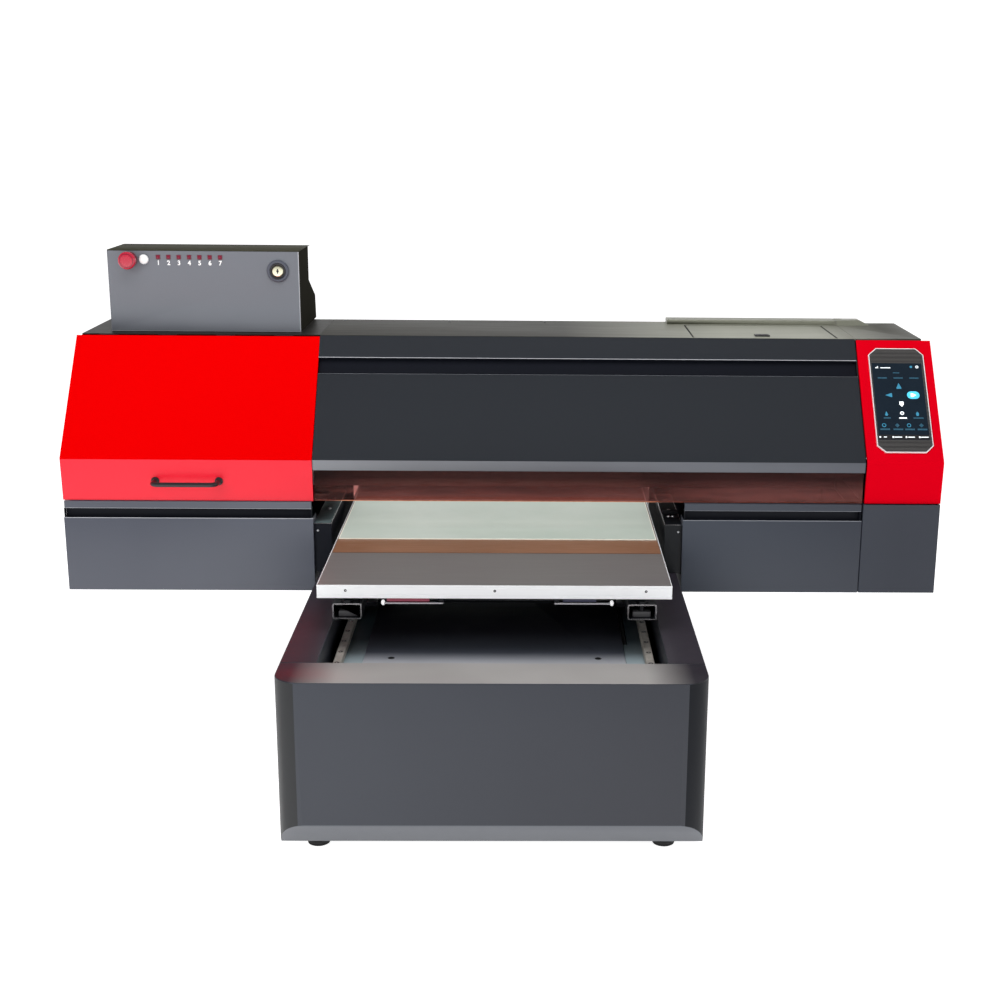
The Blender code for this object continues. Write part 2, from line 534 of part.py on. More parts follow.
# bow handle on the flap's lower band
HX0, HX1, HZ = -0.7135, -0.5815, 0.5400
HY = 0.6180
handle = bpy.data.curves.new("flap_handle", "CURVE")
handle.dimensions = "3D"
handle.bevel_depth = 0.0052
handle.bevel_resolution = 2
handle.use_fill_caps = True
sp = handle.splines.new("POLY")
foot_y = 0.6510
pts = [(HX0, foot_y + 0.0014)]
for k in range(5):
    a = math.radians(180 + 90 * k / 4)
    pts.append((HX0 + 0.012 + 0.012 * math.cos(a), HY + 0.012 + 0.012 * math.sin(a)))
for k in range(5):
    a = math.radians(270 + 90 * k / 4)
    pts.append((HX1 - 0.012 + 0.012 * math.cos(a), HY + 0.012 + 0.012 * math.sin(a)))
pts.append((HX1, foot_y + 0.0014))
sp.points.add(len(pts) - 1)
for p, (x, y) in zip(sp.points, pts):
    p.co = (*place(x, y, HZ), 1.0)
hob = bpy.data.objects.new("flap_handle", handle)
bpy.context.scene.collection.objects.link(hob)
handle.materials.append(material(*BLACK))

# fixed top of the middle: strip above the lid, top sheet and back drop
into = Vector((CREST[1] - NOSE[1], -(CREST[0] - NOSE[0]))).normalized() * 0.012
ga = (HEAD_LOW[0] + into.x, HEAD_LOW[1] + into.y)
gb = (LID_TOP[0] + into.x, LID_TOP[1] + into.y)
top_line = [ga, HEAD_LOW, CREST, (BACK_Y, CREST[1]), (BACK_Y, 0.7800)]
top = finish("top_cover", bm_prism(folded(top_line, SHEET, -1.0), LEFT_IN + 0.0003, SEAM_X + 0.0005, "x"), TOPGREY)
HATCH = (0.4200, 0.7300, 0.8430, 1.0400)
cut(top, bm_box(HATCH[0], HATCH[1], HATCH[2], HATCH[3], 0.80, 0.83))
box("hatch_lid", HATCH[0] + 0.001, HATCH[1] - 0.001, HATCH[2] + 0.001, HATCH[3] - 0.001, CREST[1] - SHEET, CREST[1],
    TOPGREY, pivot=(0.575, HATCH[3], CREST[1]))
box("hatch_latch", 0.5560, 0.5880, 0.8620, 0.8840, CREST[1] + GAP, CREST[1] + 0.0030, BLACK, 0.0008, "z")
box("rear_cover", LEFT_IN + 0.0003, 0.9140, BACK_Y - SHEET, BACK_Y, 0.4980, 0.7795, DARK)
join(top, bm_box(0.3800, 0.7655, 1.0560, BACK_Y, CREST[1] - 0.001, CREST[1] + 0.0105, 0.002, 1, "x"))

# front lid: sheet with a turned-in upper edge, and the tinted shield below it
lid_up = Vector((-(NOSE[0] - LID_TOP[0]), -(NOSE[1] - LID_TOP[1]))).normalized()
LID_X0, LID_X1 = LEFT_IN + 0.0012, SEAM_X + 0.0005
LID_HINGE = (gb[0] - 0.0030, gb[1] - 0.0005)
lid_line = [(LID_TOP[0] + into.x * 0.45, LID_TOP[1] + into.y * 0.45), LID_TOP, (NOSE[0] + 0.001, NOSE[1] - 0.0006),
            (NOSE[0] + 0.0020, LIP_Z), (NOSE[0] + 0.0220, LIP_Z)]
finish("front_lid", bm_prism(folded(lid_line, SHEET, 1.0), LID_X0, LID_X1, "x"), GREY,
       pivot=(0.19, *LID_HINGE))
box("lid_shield", LID_X0 + 0.001, LID_X1 - 0.001, NOSE[0] + 0.0090, NOSE[0] + 0.0120, SHIELD_Z, LIP_Z - GAP, SMOKE)

# rail under the groove, part of the top sheet, that carries the lid's hinge
g_dir = (Vector(ga) - Vector(gb)).normalized()
g_out = Vector((-g_dir.y, g_dir.x))
g = [tuple(Vector(ga) + g_dir * 0.0012 + g_out * 0.0006), tuple(Vector(gb) + g_dir * 0.0068 + g_out * 0.0006)]
join(top, bm_prism(folded(g, 0.003, 1.0), LEFT_IN + 0.0013, SEAM_X - 0.0005, "x"))

# right side: red fascia with the screen, grey housing behind it
fl = [(0.6570, WAIST_Z + 0.0010), (NOSE[0], NOSE[1]), (0.8383, 0.8170)]
fascia = finish("right_fascia", bm_prism(folded(fl, 0.0022, -1.0), 0.7710, WING_R, "x"), RED)
for x, d in ((0.7713, 0.0070), (WING_R - 0.0021, 0.0200)):
    join(fascia, bm_prism(folded(moved_in(fl, 0.0008, -1.0), d, -1.0), x, x + 0.0018, "x"))
rh = finish("right_housing", bm_prism([(0.6750, WAIST_Z + 0.0010), (0.6750, 0.6010), (0.8440, 0.8085),
                                       (0.8440, 0.8197), (BACK_Y, 0.8197), (BACK_Y, WAIST_Z + 0.0010)],
                                      0.9140 - SHEET, 0.9140, "x"), TOPGREY)
join(rh, bm_box(0.7710, 0.9130, 0.8440, BACK_Y, 0.8197 - SHEET, 0.8197))
join(rh, bm_prism([(0.7713, CREST[1] - 0.001), (0.7713, CREST[1] + 0.0105), (0.8250, CREST[1] + 0.0105),
                   (0.8480, CREST[1] - 0.001)], 1.0560, BACK_Y - 0.0002, "y"))
cut(rh, bm_box(0.60, 0.95, BACK_Y - SHEET - 0.0004, BACK_Y + 0.01, 0.45, 0.7800))

# touch screen lying on the sloping face
slope = (Vector((CREST[0] - NOSE[0], CREST[1] - NOSE[1]))).normalized()
out_n = Vector((-slope.y, slope.x))
sx = (0.7936, 0.8110, 0.8965, 0.9126)
s_lo, s_hi = 0.0220, 0.2740
ch = 0.0160
oct_pts = [(sx[0], s_lo + ch), (sx[1], s_lo), (sx[2], s_lo), (sx[3], s_lo + ch), (sx[3], s_hi - ch), (sx[2], s_hi),
           (sx[1], s_hi), (sx[0], s_hi - ch)]
bm = bmesh.new()
lower, upper = [], []
for x, s in oct_pts:
    for h, row in ((0.0003, lower), (0.0040, upper)):
        y = NOSE[0] + slope.x * s + out_n.x * h
        z = NOSE[1] + slope.y * s + out_n.y * h
        row.append(bm.verts.new(place(x, y, z)))
bm.faces.new(lower)
bm.faces.new(upper)
for k in range(8):
    bm.faces.new((lower[k], lower[(k + 1) % 8], upper[(k + 1) % 8], upper[k]))
finish("touch_screen", bm, GLASS)

# ------------------------------------------------------------- ink box
ink_prof = [(INK_Y0, INK_BASE), (INK_Y0, INK_TOP - SHEET - GAP), (1.0280, INK_TOP - SHEET - GAP), (1.0280, 0.9180),
            (1.1270, 0.8730), (1.1350, INK_BASE)]
ink_in = [(INK_Y0 + SHEET, INK_BASE + SHEET), (INK_Y0 + SHEET, INK_TOP + 0.02), (1.0280 - SHEET, INK_TOP + 0.02),
          (1.0280 - SHEET, 0.9168), (1.1252, 0.8718), (1.1328, INK_BASE + SHEET)]
ib = finish("ink_box_body", bm_prism(ink_prof, INK_X0, INK_X1, "x"), GREY)
cut(ib, bm_prism(ink_in, INK_X0 + SHEET, INK_X1 - SHEET, "x"))
for (x, z), r in ((ESTOP, 0.0090), (START, 0.0065), (LOCK, 0.0125)):
    cut(ib, bm_turn([(0, -0.02), (r, -0.02), (r, 0.02), (0, 0.02)], (x, INK_Y0, z), "y", 20))
box("ink_box_lid", INK_X0, INK_X1, INK_Y0, 1.0280, INK_TOP - SHEET, INK_TOP, GREY,
    pivot=((INK_X0 + INK_X1) / 2, 1.0280, INK_TOP))
bank = box("ink_tank_bank", -0.8000, -0.4580, 0.9180, 1.0150, INK_BASE + SHEET + GAP, 0.9300, WHITE, 0.003, "z",
           segments=1)
for k in range(LED_COUNT):
    x = -0.7800 + 0.0500 * k
    join(bank, bm_turn([(0, 0.9290), (0.0140, 0.9290), (0.0140, 0.9450), (0.0120, 0.9470), (0, 0.9470)],
                       (x, 0.9670, 0), "z", 14))
    if k < LED_COUNT - 1:
        cut(bank, bm_box(x + 0.0240, x + 0.0260, 0.900, 0.9300, 0.8300, 0.94))
finish("stop_button", bm_turn([(0, -0.0290), (0.0120, -0.0285), (0.0170, -0.0265), (0.0193, -0.0225),
                               (0.0193, -0.0185), (0.0165, -0.0150), (0.0085, -0.0150), (0.0085, 0.0120),
                               (0, 0.0120)], (ESTOP[0], INK_Y0, ESTOP[1]), "y", 28), RED,
       pivot=(ESTOP[0], INK_Y0, ESTOP[1]), smooth=True)
finish("start_button", bm_turn([(0, -0.0062), (0.0075, -0.0060), (0.0095, -0.0050), (0.0095, -0.0042), (0.0060,
                               -0.0042), (0.0060, 0.0100), (0, 0.0100)], (START[0], INK_Y0, START[1]), "y", 24),
       WHITE, pivot=(START[0], INK_Y0, START[1]), smooth=True)
finish("lock_core", bm_turn([(0, -0.0040), (0.0110, -0.0040), (0.0120, -0.0030), (0.0120, 0.0160), (0, 0.0160)],
                            (LOCK[0], INK_Y0, LOCK[1]), "y", 24), BRASS, pivot=(LOCK[0], INK_Y0, LOCK[1]),
       smooth=True)
led = box("level_lights", LED_X0 - 0.010, LED_X0 + LED_STEP * 6 + 0.010, INK_Y0 - 0.0012, INK_Y0 - GAP,
          LED_Z - 0.0055, LED_Z + 0.0055, BLACK)
for k in range(LED_COUNT):
    join(led, bm_turn([(0, -0.0032), (0.0024, -0.0028), (0.0034, -0.0018), (0.0034, -0.0008), (0, -0.0008)],
                      (LED_X0 + LED_STEP * k, INK_Y0, LED_Z), "y", 10))
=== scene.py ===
"""Looks of the flatbed UV printer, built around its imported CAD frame.

Positions are written in bench coordinates, as in the CAD source: x from the
middle plane of the base, y from the front face of the base, z from the floor.
V() turns them into the frame's own coordinates.
"""
import json
import math

import bmesh
import bpy
from mathutils import Matrix, Vector

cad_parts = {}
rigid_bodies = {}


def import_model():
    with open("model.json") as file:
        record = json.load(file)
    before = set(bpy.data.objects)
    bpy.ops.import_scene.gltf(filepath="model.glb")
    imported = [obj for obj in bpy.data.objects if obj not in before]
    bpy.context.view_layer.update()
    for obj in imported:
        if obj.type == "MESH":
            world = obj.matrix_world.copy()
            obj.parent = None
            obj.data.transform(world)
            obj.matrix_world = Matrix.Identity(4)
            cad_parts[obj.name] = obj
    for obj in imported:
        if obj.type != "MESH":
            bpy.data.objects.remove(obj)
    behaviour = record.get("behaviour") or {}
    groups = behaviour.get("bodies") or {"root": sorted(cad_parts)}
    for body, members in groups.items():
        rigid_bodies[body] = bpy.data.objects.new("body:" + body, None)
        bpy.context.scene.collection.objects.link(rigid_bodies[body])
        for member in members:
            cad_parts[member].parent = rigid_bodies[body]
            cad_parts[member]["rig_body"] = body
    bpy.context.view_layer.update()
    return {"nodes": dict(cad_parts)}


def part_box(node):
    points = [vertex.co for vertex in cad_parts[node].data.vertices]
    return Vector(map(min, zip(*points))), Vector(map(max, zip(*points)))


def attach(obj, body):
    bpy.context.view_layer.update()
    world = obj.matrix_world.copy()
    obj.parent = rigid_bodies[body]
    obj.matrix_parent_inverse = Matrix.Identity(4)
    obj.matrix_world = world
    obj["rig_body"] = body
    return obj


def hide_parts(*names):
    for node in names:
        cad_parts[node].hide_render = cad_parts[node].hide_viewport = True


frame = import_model()
NODES = frame["nodes"]

OX, OY = -0.012, -0.83225


def V(x, y, z):
    return Vector((x + OX, y + OY, z))


def bench(co):
    return Vector((co[0] - OX, co[1] - OY, co[2]))


# ---------------------------------------------------------------- materials
def new_material(name):
    m = bpy.data.materials.new(name)
    m.use_nodes = True
    return m, m.node_tree, m.node_tree.nodes["Principled BSDF"]


def node(nt, kind, **props):
    n = nt.nodes.new(kind)
    for k, v in props.items():
        setattr(n, k, v)
    return n


def coords(nt, stretch=(1, 1, 1)):
    tc = node(nt, "ShaderNodeTexCoord")
    mp = node(nt, "ShaderNodeMapping")
    mp.inputs["Scale"].default_value = stretch
    nt.links.new(tc.outputs["Object"], mp.inputs["Vector"])
    return mp.outputs["Vector"]


def noise(nt, vec, scale, detail=3.0, rough=0.55, distortion=0.0):
    n = node(nt, "ShaderNodeTexNoise")
    n.inputs["Scale"].default_value = scale
    n.inputs["Detail"].default_value = detail
    n.inputs["Roughness"].default_value = rough
    n.inputs["Distortion"].default_value = distortion
    nt.links.new(vec, n.inputs["Vector"])
    return n.outputs["Fac"]


def spread(nt, value, lo, hi, a=0.3, b=0.7):
    n = node(nt, "ShaderNodeMapRange")
    n.inputs["From Min"].default_value = a
    n.inputs["From Max"].default_value = b
    n.inputs["To Min"].default_value = lo
    n.inputs["To Max"].default_value = hi
    nt.links.new(value, n.inputs["Value"])
    return n.outputs["Result"]


def mix(nt, fac, a, b, blend="MIX"):
    n = node(nt, "ShaderNodeMix", data_type="RGBA", blend_type=blend)
    for sock, v in ((n.inputs[0], fac), (n.inputs[6], a), (n.inputs[7], b)):
        if isinstance(v, (int, float)):
            sock.default_value = v
        elif isinstance(v, (tuple, list)):
            sock.default_value = (*v[:3], 1.0)
        else:
            nt.links.new(v, sock)
    return n.outputs[2]


def times(rgb, k):
    return tuple(min(1.0, c * k) for c in rgb)


def math_node(nt, op, a, b=0.0):
    n = node(nt, "ShaderNodeMath", operation=op)
    for i, v in enumerate((a, b)):
        if isinstance(v, (int, float)):
            n.inputs[i].default_value = v
        else:
            nt.links.new(v, n.inputs[i])
    return n.outputs[0]


def bump(nt, b, height, strength, distance):
    n = node(nt, "ShaderNodeBump")
    n.inputs["Strength"].default_value = strength
    n.inputs["Distance"].default_value = distance
    nt.links.new(height, n.inputs["Height"])
    nt.links.new(n.outputs["Normal"], b.inputs["Normal"])


def paint(name, rgb, rough=0.42, spec=0.5, patch=0.025, grain=0.05, peel=0.35, size=1000.0, coat=0.0,
          coat_rough=0.2, rough_var=0.03):
    """Powder coat: orange peel, small specks and very slow patches."""
    m, nt, b = new_material(name)
    vec = coords(nt)
    slow = noise(nt, vec, 2.7, 4.0)
    mid = noise(nt, vec, 46.0, 3.0)
    fine = noise(nt, vec, size, 2.0)
    base = mix(nt, spread(nt, slow, 0, 1), times(rgb, 1 - patch), times(rgb, 1 + patch))
    base = mix(nt, spread(nt, fine, 0, 1, 0.25, 0.75), base,
               mix(nt, 0.5, base, times(rgb, 1 + 3 * grain)))
    nt.links.new(base, b.inputs["Base Color"])
    nt.links.new(spread(nt, mid, rough - rough_var / 2, rough + rough_var / 2), b.inputs["Roughness"])
    b.inputs["Specular IOR Level"].default_value = spec
    b.inputs["Coat Weight"].default_value = coat
    b.inputs["Coat Roughness"].default_value = coat_rough
    bump(nt, b, fine, peel, 0.00008)
    return m


def metal(name, rgb, rough=0.3, stretch=(1, 1, 1), scale=260.0, var=0.16, strength=0.12, blotch=0.08, metallic=1.0):
    """Bare metal with fine drawn or ground lines along the least stretched axis."""
    m, nt, b = new_material(name)
    vec = coords(nt, stretch)
    lines = noise(nt, vec, scale, 3.0, 0.6)
    flat = coords(nt)
    slow = noise(nt, flat, 9.0, 4.0)
    base = mix(nt, spread(nt, slow, 0, 1), times(rgb, 1 - blotch), times(rgb, 1 + blotch))
    base = mix(nt, spread(nt, lines, 0, 0.5), base, times(rgb, 1 - var))
    nt.links.new(base, b.inputs["Base Color"])
    nt.links.new(spread(nt, lines, rough * 0.8, rough * 1.3), b.inputs["Roughness"])
    b.inputs["Metallic"].default_value = metallic
    bump(nt, b, lines, strength, 0.00005)
    return m


def plastic(name, rgb, rough=0.4, spec=0.5, var=0.06, size=700.0, peel=0.2, coat=0.0, emit=None, emit_strength=0.0):
    m, nt, b = new_material(name)
    vec = coords(nt)
    fine = noise(nt, vec, size, 2.0)
    slow = noise(nt, vec, 25.0, 3.0)
    base = mix(nt, spread(nt, slow, 0, 1), times(rgb, 1 - var), times(rgb, 1 + var))
    nt.links.new(base, b.inputs["Base Color"])
    nt.links.new(spread(nt, fine, rough - 0.05, rough + 0.06), b.inputs["Roughness"])
    b.inputs["Specular IOR Level"].default_value = spec
    b.inputs["Coat Weight"].default_value = coat
    b.inputs["Coat Roughness"].default_value = 0.08
    if emit:
        glow = mix(nt, spread(nt, slow, 0, 1), times(emit, 0.9), times(emit, 1.1))
        nt.links.new(glow, b.inputs["Emission Color"])
        b.inputs["Emission Strength"].default_value = emit_strength
    bump(nt, b, fine, peel, 0.00005)
    return m


GREY = paint("coat_grey", (0.060, 0.066, 0.088), 0.40)
# the ink box's front: a lighter copy of the front-panel grey, painted light for the light falling on it from the front
# left
INKGREY_PAINTED_LIGHT = paint("coat_ink", (0.128, 0.137, 0.158), 0.42)
# near-black, low-gloss coat: painted shade in the recessed grooves and recesses; also the left leg's dark faces
GROOVE = paint("coat_groove", (0.006, 0.007, 0.011), 0.5, spec=0.10)
RIM = paint("coat_rim", (0.028, 0.024, 0.032), 0.40, spec=0.32)
CHAMFER = paint("coat_chamfer", (0.060, 0.066, 0.080), 0.40)
# the sloping cover's coat: the front panels' grey darkened to near black, painted shade
SLOPE_PAINTED_SHADE = paint("coat_cover_painted_shade", (0.0165, 0.0190, 0.0240), 0.42, spec=0.32)
# a darker copy of the top sheet's coat for the left housing: painted shade
TOPDARK_PAINTED_SHADE = paint("coat_top_painted_shade", (0.012, 0.011, 0.009), 0.46, spec=0.22)
# pale coats for the rounded edges given as the last material slot: painted highlights along folds, lips and box edges
EDGE_HIGHLIGHT = paint("coat_edge_highlight", (0.40, 0.41, 0.44), 0.34)
EDGE_HIGHLIGHT_DIM = paint("coat_edge_highlight_dim", (0.22, 0.23, 0.26), 0.36)
INKTOP = paint("coat_ink_top", (0.042, 0.041, 0.028), 0.60, spec=0.03)
TOPLIGHT = paint("coat_strip", (0.21, 0.215, 0.172), 0.42)
BLACKCOAT = paint("coat_black", (0.008, 0.0085, 0.011), 0.42, spec=0.22)
GREENCOAT = paint("coat_leg", (0.10, 0.135, 0.14), 0.42)
REDL = paint("coat_red_left", (0.66, 0.0001, 0.0006), 0.50, spec=0.0, patch=0.010, grain=0.004)
# the flap's lower band: a brighter, pinker copy of the flap's red, painted sheen of the bright floor it faces
REDBAND_PAINTED_SHEEN = paint("coat_red_band_painted_sheen", (0.80, 0.0030, 0.022), 0.34, spec=0.42, patch=0.010, grain=0.004)
REDR = paint("coat_red_right", (0.60, 0.0002, 0.008), 0.55, spec=0.0, patch=0.012, grain=0.004)
STEEL = metal("steel_ground", (0.58, 0.59, 0.61), 0.28, (1, 0.05, 1))
STEELX = metal("steel_drawn", (0.50, 0.51, 0.53), 0.32, (0.05, 1, 1))
ZINC = metal("screw_zinc", (0.72, 0.73, 0.75), 0.22, scale=900.0, var=0.1)
BLACKSCREW = metal("screw_black", (0.05, 0.05, 0.055), 0.35, scale=900.0, var=0.1)
ALU = metal("aluminium_milled", (0.95, 0.96, 0.98), 0.38, (0.02, 1, 1), 420.0, 0.012, 0.02, 0.008, 0.12)
ALUY = metal("aluminium_side", (0.86, 0.87, 0.88), 0.32, (1, 0.04, 1), 420.0, 0.07, 0.10, 0.03)
BLACK = plastic("plastic_black", (0.014, 0.014, 0.016), 0.40)
SATIN = plastic("plastic_satin", (0.022, 0.022, 0.025), 0.30)
RUBBER = plastic("rubber_black", (0.018, 0.018, 0.019), 0.72, 0.35, 0.15, 1500.0, 0.5)
WHITE = plastic("plastic_white", (0.80, 0.80, 0.80), 0.32, 0.5, 0.02)
LABEL = plastic("ink_white", (0.88, 0.88, 0.88), 0.5, 0.4, 0.02)
REDBTN = plastic("plastic_red", (0.43, 0.006, 0.032), 0.24, 0.5, 0.03, 300.0, 0.05, 0.6)
COLLAR = plastic("plastic_maroon", (0.13, 0.006, 0.022), 0.35)
LEDRED = plastic("led_red", (0.17, 0.008, 0.028), 0.25, 0.4, 0.05, 300.0, 0.05, 0.0, (0.40, 0.015, 0.06), 0.08)
PINK = plastic("vinyl_red", (0.42, 0.085, 0.130), 0.42, 0.5, 0.05)
PURPLE = plastic("vinyl_blue", (0.060, 0.060, 0.105), 0.42, 0.5, 0.05)
CORE = metal("lock_core", (0.90, 0.88, 0.66), 0.34, scale=500.0, var=0.12)
TANK = plastic("tank_clear", (0.60, 0.62, 0.60), 0.30, 0.5, 0.03)
BOARD = plastic("dark_board", (0.008, 0.010, 0.010), 0.5)


def paint_with_painted_light(name, left, right, x0, x1, rough, spec):
    """Powder coat with painted light: its tone goes lighter or darker from one side to the other, where the light
    falls.
    """
    m, nt, b = new_material(name)
    vec = coords(nt)
    sep = node(nt, "ShaderNodeSeparateXYZ")
    nt.links.new(vec, sep.inputs[0])
    slow = noise(nt, vec, 2.7, 4.0)
    fine = noise(nt, vec, 1000.0, 2.0)
    base = mix(nt, spread(nt, sep.outputs["X"], 0, 1, OX + x0, OX + x1), left, right)
    base = mix(nt, spread(nt, slow, 0, 0.06), base, (0.0, 0.0, 0.0))
    base = mix(nt, spread(nt, fine, 0, 0.010, 0.25, 0.75), base, (0.5, 0.5, 0.5))
    nt.links.new(base, b.inputs["Base Color"])
    nt.links.new(spread(nt, slow, rough - 0.02, rough + 0.02), b.inputs["Roughness"])
    b.inputs["Specular IOR Level"].default_value = spec
    bump(nt, b, fine, 0.35, 0.00008)
    return m


def base_coat_painted_shade():
    """The base's powder coat, with painted shade: darker towards the right and the bottom, and darker still on the
    turned corners and side faces, most on the right.
    """
    m, nt, b = new_material("coat_base_painted_shade")
    vec = coords(nt)
    sep = node(nt, "ShaderNodeSeparateXYZ")
    nt.links.new(vec, sep.inputs[0])
    slow = noise(nt, vec, 2.7, 4.0)
    fine = noise(nt, vec, 1000.0, 2.0)
    low = math_node(nt, "SUBTRACT", 0.25, sep.outputs["Z"])
    painted_falloff = spread(nt, math_node(nt, "ADD", sep.outputs["X"], low), 0, 1, -0.40, 0.50)
    base = mix(nt, painted_falloff, (0.036, 0.041, 0.054), (0.018, 0.020, 0.029))
    base = mix(nt, spread(nt, sep.outputs["X"], 0, 0.9, OX + 0.343, OX + 0.349), base, (0.005, 0.005, 0.007))
    base = mix(nt, spread(nt, sep.outputs["X"], 0.5, 0, OX - 0.349, OX - 0.343), base, (0.005, 0.005, 0.005))
    base = mix(nt, spread(nt, slow, 0, 0.06), base, (0.0, 0.0, 0.0))
    base = mix(nt, spread(nt, fine, 0, 0.012, 0.25, 0.75), base, (0.5, 0.5, 0.5))
    nt.links.new(base, b.inputs["Base Color"])
    nt.links.new(spread(nt, slow, 0.36, 0.42), b.inputs["Roughness"])
    b.inputs["Specular IOR Level"].default_value = 0.36
    bump(nt, b, fine, 0.35, 0.00008)
    return m


def lip_coat_painted_light():
    """The coat of the lid's turned-in lip, with painted light: paler towards its left end, where the light falls."""
    m, nt, b = new_material("coat_lip_painted_light")
    vec = coords(nt)
    sep = node(nt, "ShaderNodeSeparateXYZ")
    nt.links.new(vec, sep.inputs[0])
    slow = noise(nt, vec, 5.0, 3.0)
    fine = noise(nt, vec, 1000.0, 2.0)
    base = mix(nt, spread(nt, sep.outputs["X"], 0, 1, OX - 0.35, OX + 0.75), (0.205, 0.214, 0.236),
               (0.062, 0.068, 0.086))
    base = mix(nt, spread(nt, slow, 0, 0.06), base, (0.0, 0.0, 0.0))
    nt.links.new(base, b.inputs["Base Color"])
    nt.links.new(spread(nt, slow, 0.34, 0.40), b.inputs["Roughness"])
    bump(nt, b, fine, 0.35, 0.00008)
    return m


def top_coat_painted_light():
    """The top sheet's coat, with painted light: a pale painted sheen round the hatch, darker towards both ends."""
    m, nt, b = new_material("coat_top")
    vec = coords(nt)
    sep = node(nt, "ShaderNodeSeparateXYZ")
    nt.links.new(vec, sep.inputs[0])
    brushed = noise(nt, coords(nt, (0.25, 6.0, 1.0)), 26.0, 4.0, 0.6)
    slow = noise(nt, vec, 5.0, 3.0)
    fine = noise(nt, vec, 1000.0, 2.0)
    base = mix(nt, spread(nt, sep.outputs["X"], 0, 1, OX + 0.14, OX + 0.50), (0.020, 0.019, 0.013),
               (0.345, 0.350, 0.290))
    base = mix(nt, spread(nt, sep.outputs["X"], 0, 0.94, OX + 0.70, OX + 0.86), base, (0.050, 0.049, 0.038))
    base = mix(nt, spread(nt, brushed, 0, 0.14), base, (0.0, 0.0, 0.0))
    base = mix(nt, spread(nt, slow, 0, 0.05), base, (0.0, 0.0, 0.0))
    nt.links.new(base, b.inputs["Base Color"])
    nt.links.new(spread(nt, brushed, 0.42, 0.52), b.inputs["Roughness"])
    b.inputs["Specular IOR Level"].default_value = 0.33
    bump(nt, b, fine, 0.35, 0.00008)
    return m


def beam_coat_painted_light():
    """Paint of the two long beams, with painted light: pale at their front ends, which lie open to the light, and dark
    in the shade further back.
    """
    m, nt, b = new_material("coat_beam_painted_light")
    vec = coords(nt)
    sep = node(nt, "ShaderNodeSeparateXYZ")
    nt.links.new(vec, sep.inputs[0])
    slow = noise(nt, vec, 8.0, 3.0)
    fine = noise(nt, vec, 1000.0, 2.0)
    base = mix(nt, spread(nt, sep.outputs["Y"], 0, 1, OY + 0.220, OY + 0.380), (0.36, 0.44, 0.475),
               (0.022, 0.034, 0.042))
    base = mix(nt, spread(nt, slow, 0, 0.12), base, (0.0, 0.0, 0.0))
    nt.links.new(base, b.inputs["Base Color"])
    nt.links.new(spread(nt, slow, 0.42, 0.48), b.inputs["Roughness"])
    bump(nt, b, fine, 0.35, 0.00008)
    return m


def deck_coat_painted_light():
    """The deck's coat, with painted light and shade: pale along the front edge, which lies open to the light, and dark
    in the shade under the bed.
    """
    m, nt, b = new_material("coat_deck_painted_light")
    vec = coords(nt)
    sep = node(nt, "ShaderNodeSeparateXYZ")
    nt.links.new(vec, sep.inputs[0])
    slow = noise(nt, vec, 5.0, 3.0)
    fine = noise(nt, vec, 1000.0, 2.0)
    y = sep.outputs["Y"]
    base = mix(nt, spread(nt, y, 0, 1, OY + 0.200, OY + 0.300), (0.56, 0.57, 0.61), (0.064, 0.072, 0.092))
    base = mix(nt, spread(nt, y, 0, 1, OY + 0.300, OY + 0.420), base, (0.013, 0.013, 0.018))
    base = mix(nt, spread(nt, slow, 0, 0.10), base, (0.0, 0.0, 0.0))
    nt.links.new(base, b.inputs["Base Color"])
    nt.links.new(spread(nt, slow, 0.36, 0.44), b.inputs["Roughness"])
    b.inputs["Specular IOR Level"].default_value = 0.25
    bump(nt, b, fine, 0.35, 0.00008)
    return m


# front-panel greys with painted light: the left one paler towards its inner end, the right one darker overall and
# darker still towards its outer end as painted shade
GREYL_PAINTED_LIGHT = paint_with_painted_light("coat_grey_left_painted_light", (0.058, 0.064, 0.087), (0.088, 0.096, 0.122), -0.75, -0.42, 0.40, 0.5)
GREYR_PAINTED_SHADE = paint_with_painted_light("coat_grey_right_painted_shade", (0.050, 0.058, 0.076), (0.024, 0.028, 0.040), 0.42, 0.85, 0.42, 0.26)
BASE_PAINTED_SHADE, DECK_PAINTED_LIGHT, LIP_PAINTED_LIGHT, TOP_PAINTED_LIGHT, TEAL_PAINTED_LIGHT = base_coat_painted_shade(), deck_coat_painted_light(), lip_coat_painted_light(), top_coat_painted_light(), beam_coat_painted_light()


def bed_coat():
    """Dark brown-grey hard coat of the bed, rubbed, with faint drag marks."""
    m, nt, b = new_material("bed_coat")
    vec = coords(nt)
    streak = noise(nt, coords(nt, (0.6, 6.0, 1)), 14.0, 5.0, 0.6)
    slow = noise(nt, vec, 3.2, 3.0)
    fine = noise(nt, vec, 900.0, 2.0)
    base = mix(nt, spread(nt, slow, 0, 1), (0.160, 0.147, 0.146), (0.174, 0.165, 0.160))
    base = mix(nt, spread(nt, streak, 0, 0.10, 0.45, 0.75), base, (0.19, 0.18, 0.175))
    nt.links.new(base, b.inputs["Base Color"])
    nt.links.new(spread(nt, streak, 0.34, 0.38), b.inputs["Roughness"])
    bump(nt, b, fine, 0.1, 0.00002)
    return m


def copper_board():
    m, nt, b = new_material("copper_board")
    vec = coords(nt)
    along = noise(nt, coords(nt, (0.5, 7.0, 1)), 30.0, 4.0, 0.6)
    slow = noise(nt, vec, 3.0, 3.0)
    base = mix(nt, spread(nt, slow, 0, 1), (0.23, 0.105, 0.055), (0.33, 0.155, 0.085))
    base = mix(nt, spread(nt, along, 0, 0.3), base, (0.17, 0.085, 0.050))
    nt.links.new(base, b.inputs["Base Color"])
    nt.links.new(spread(nt, along, 0.30, 0.42), b.inputs["Roughness"])
    bump(nt, b, along, 0.10, 0.00005)
    return m


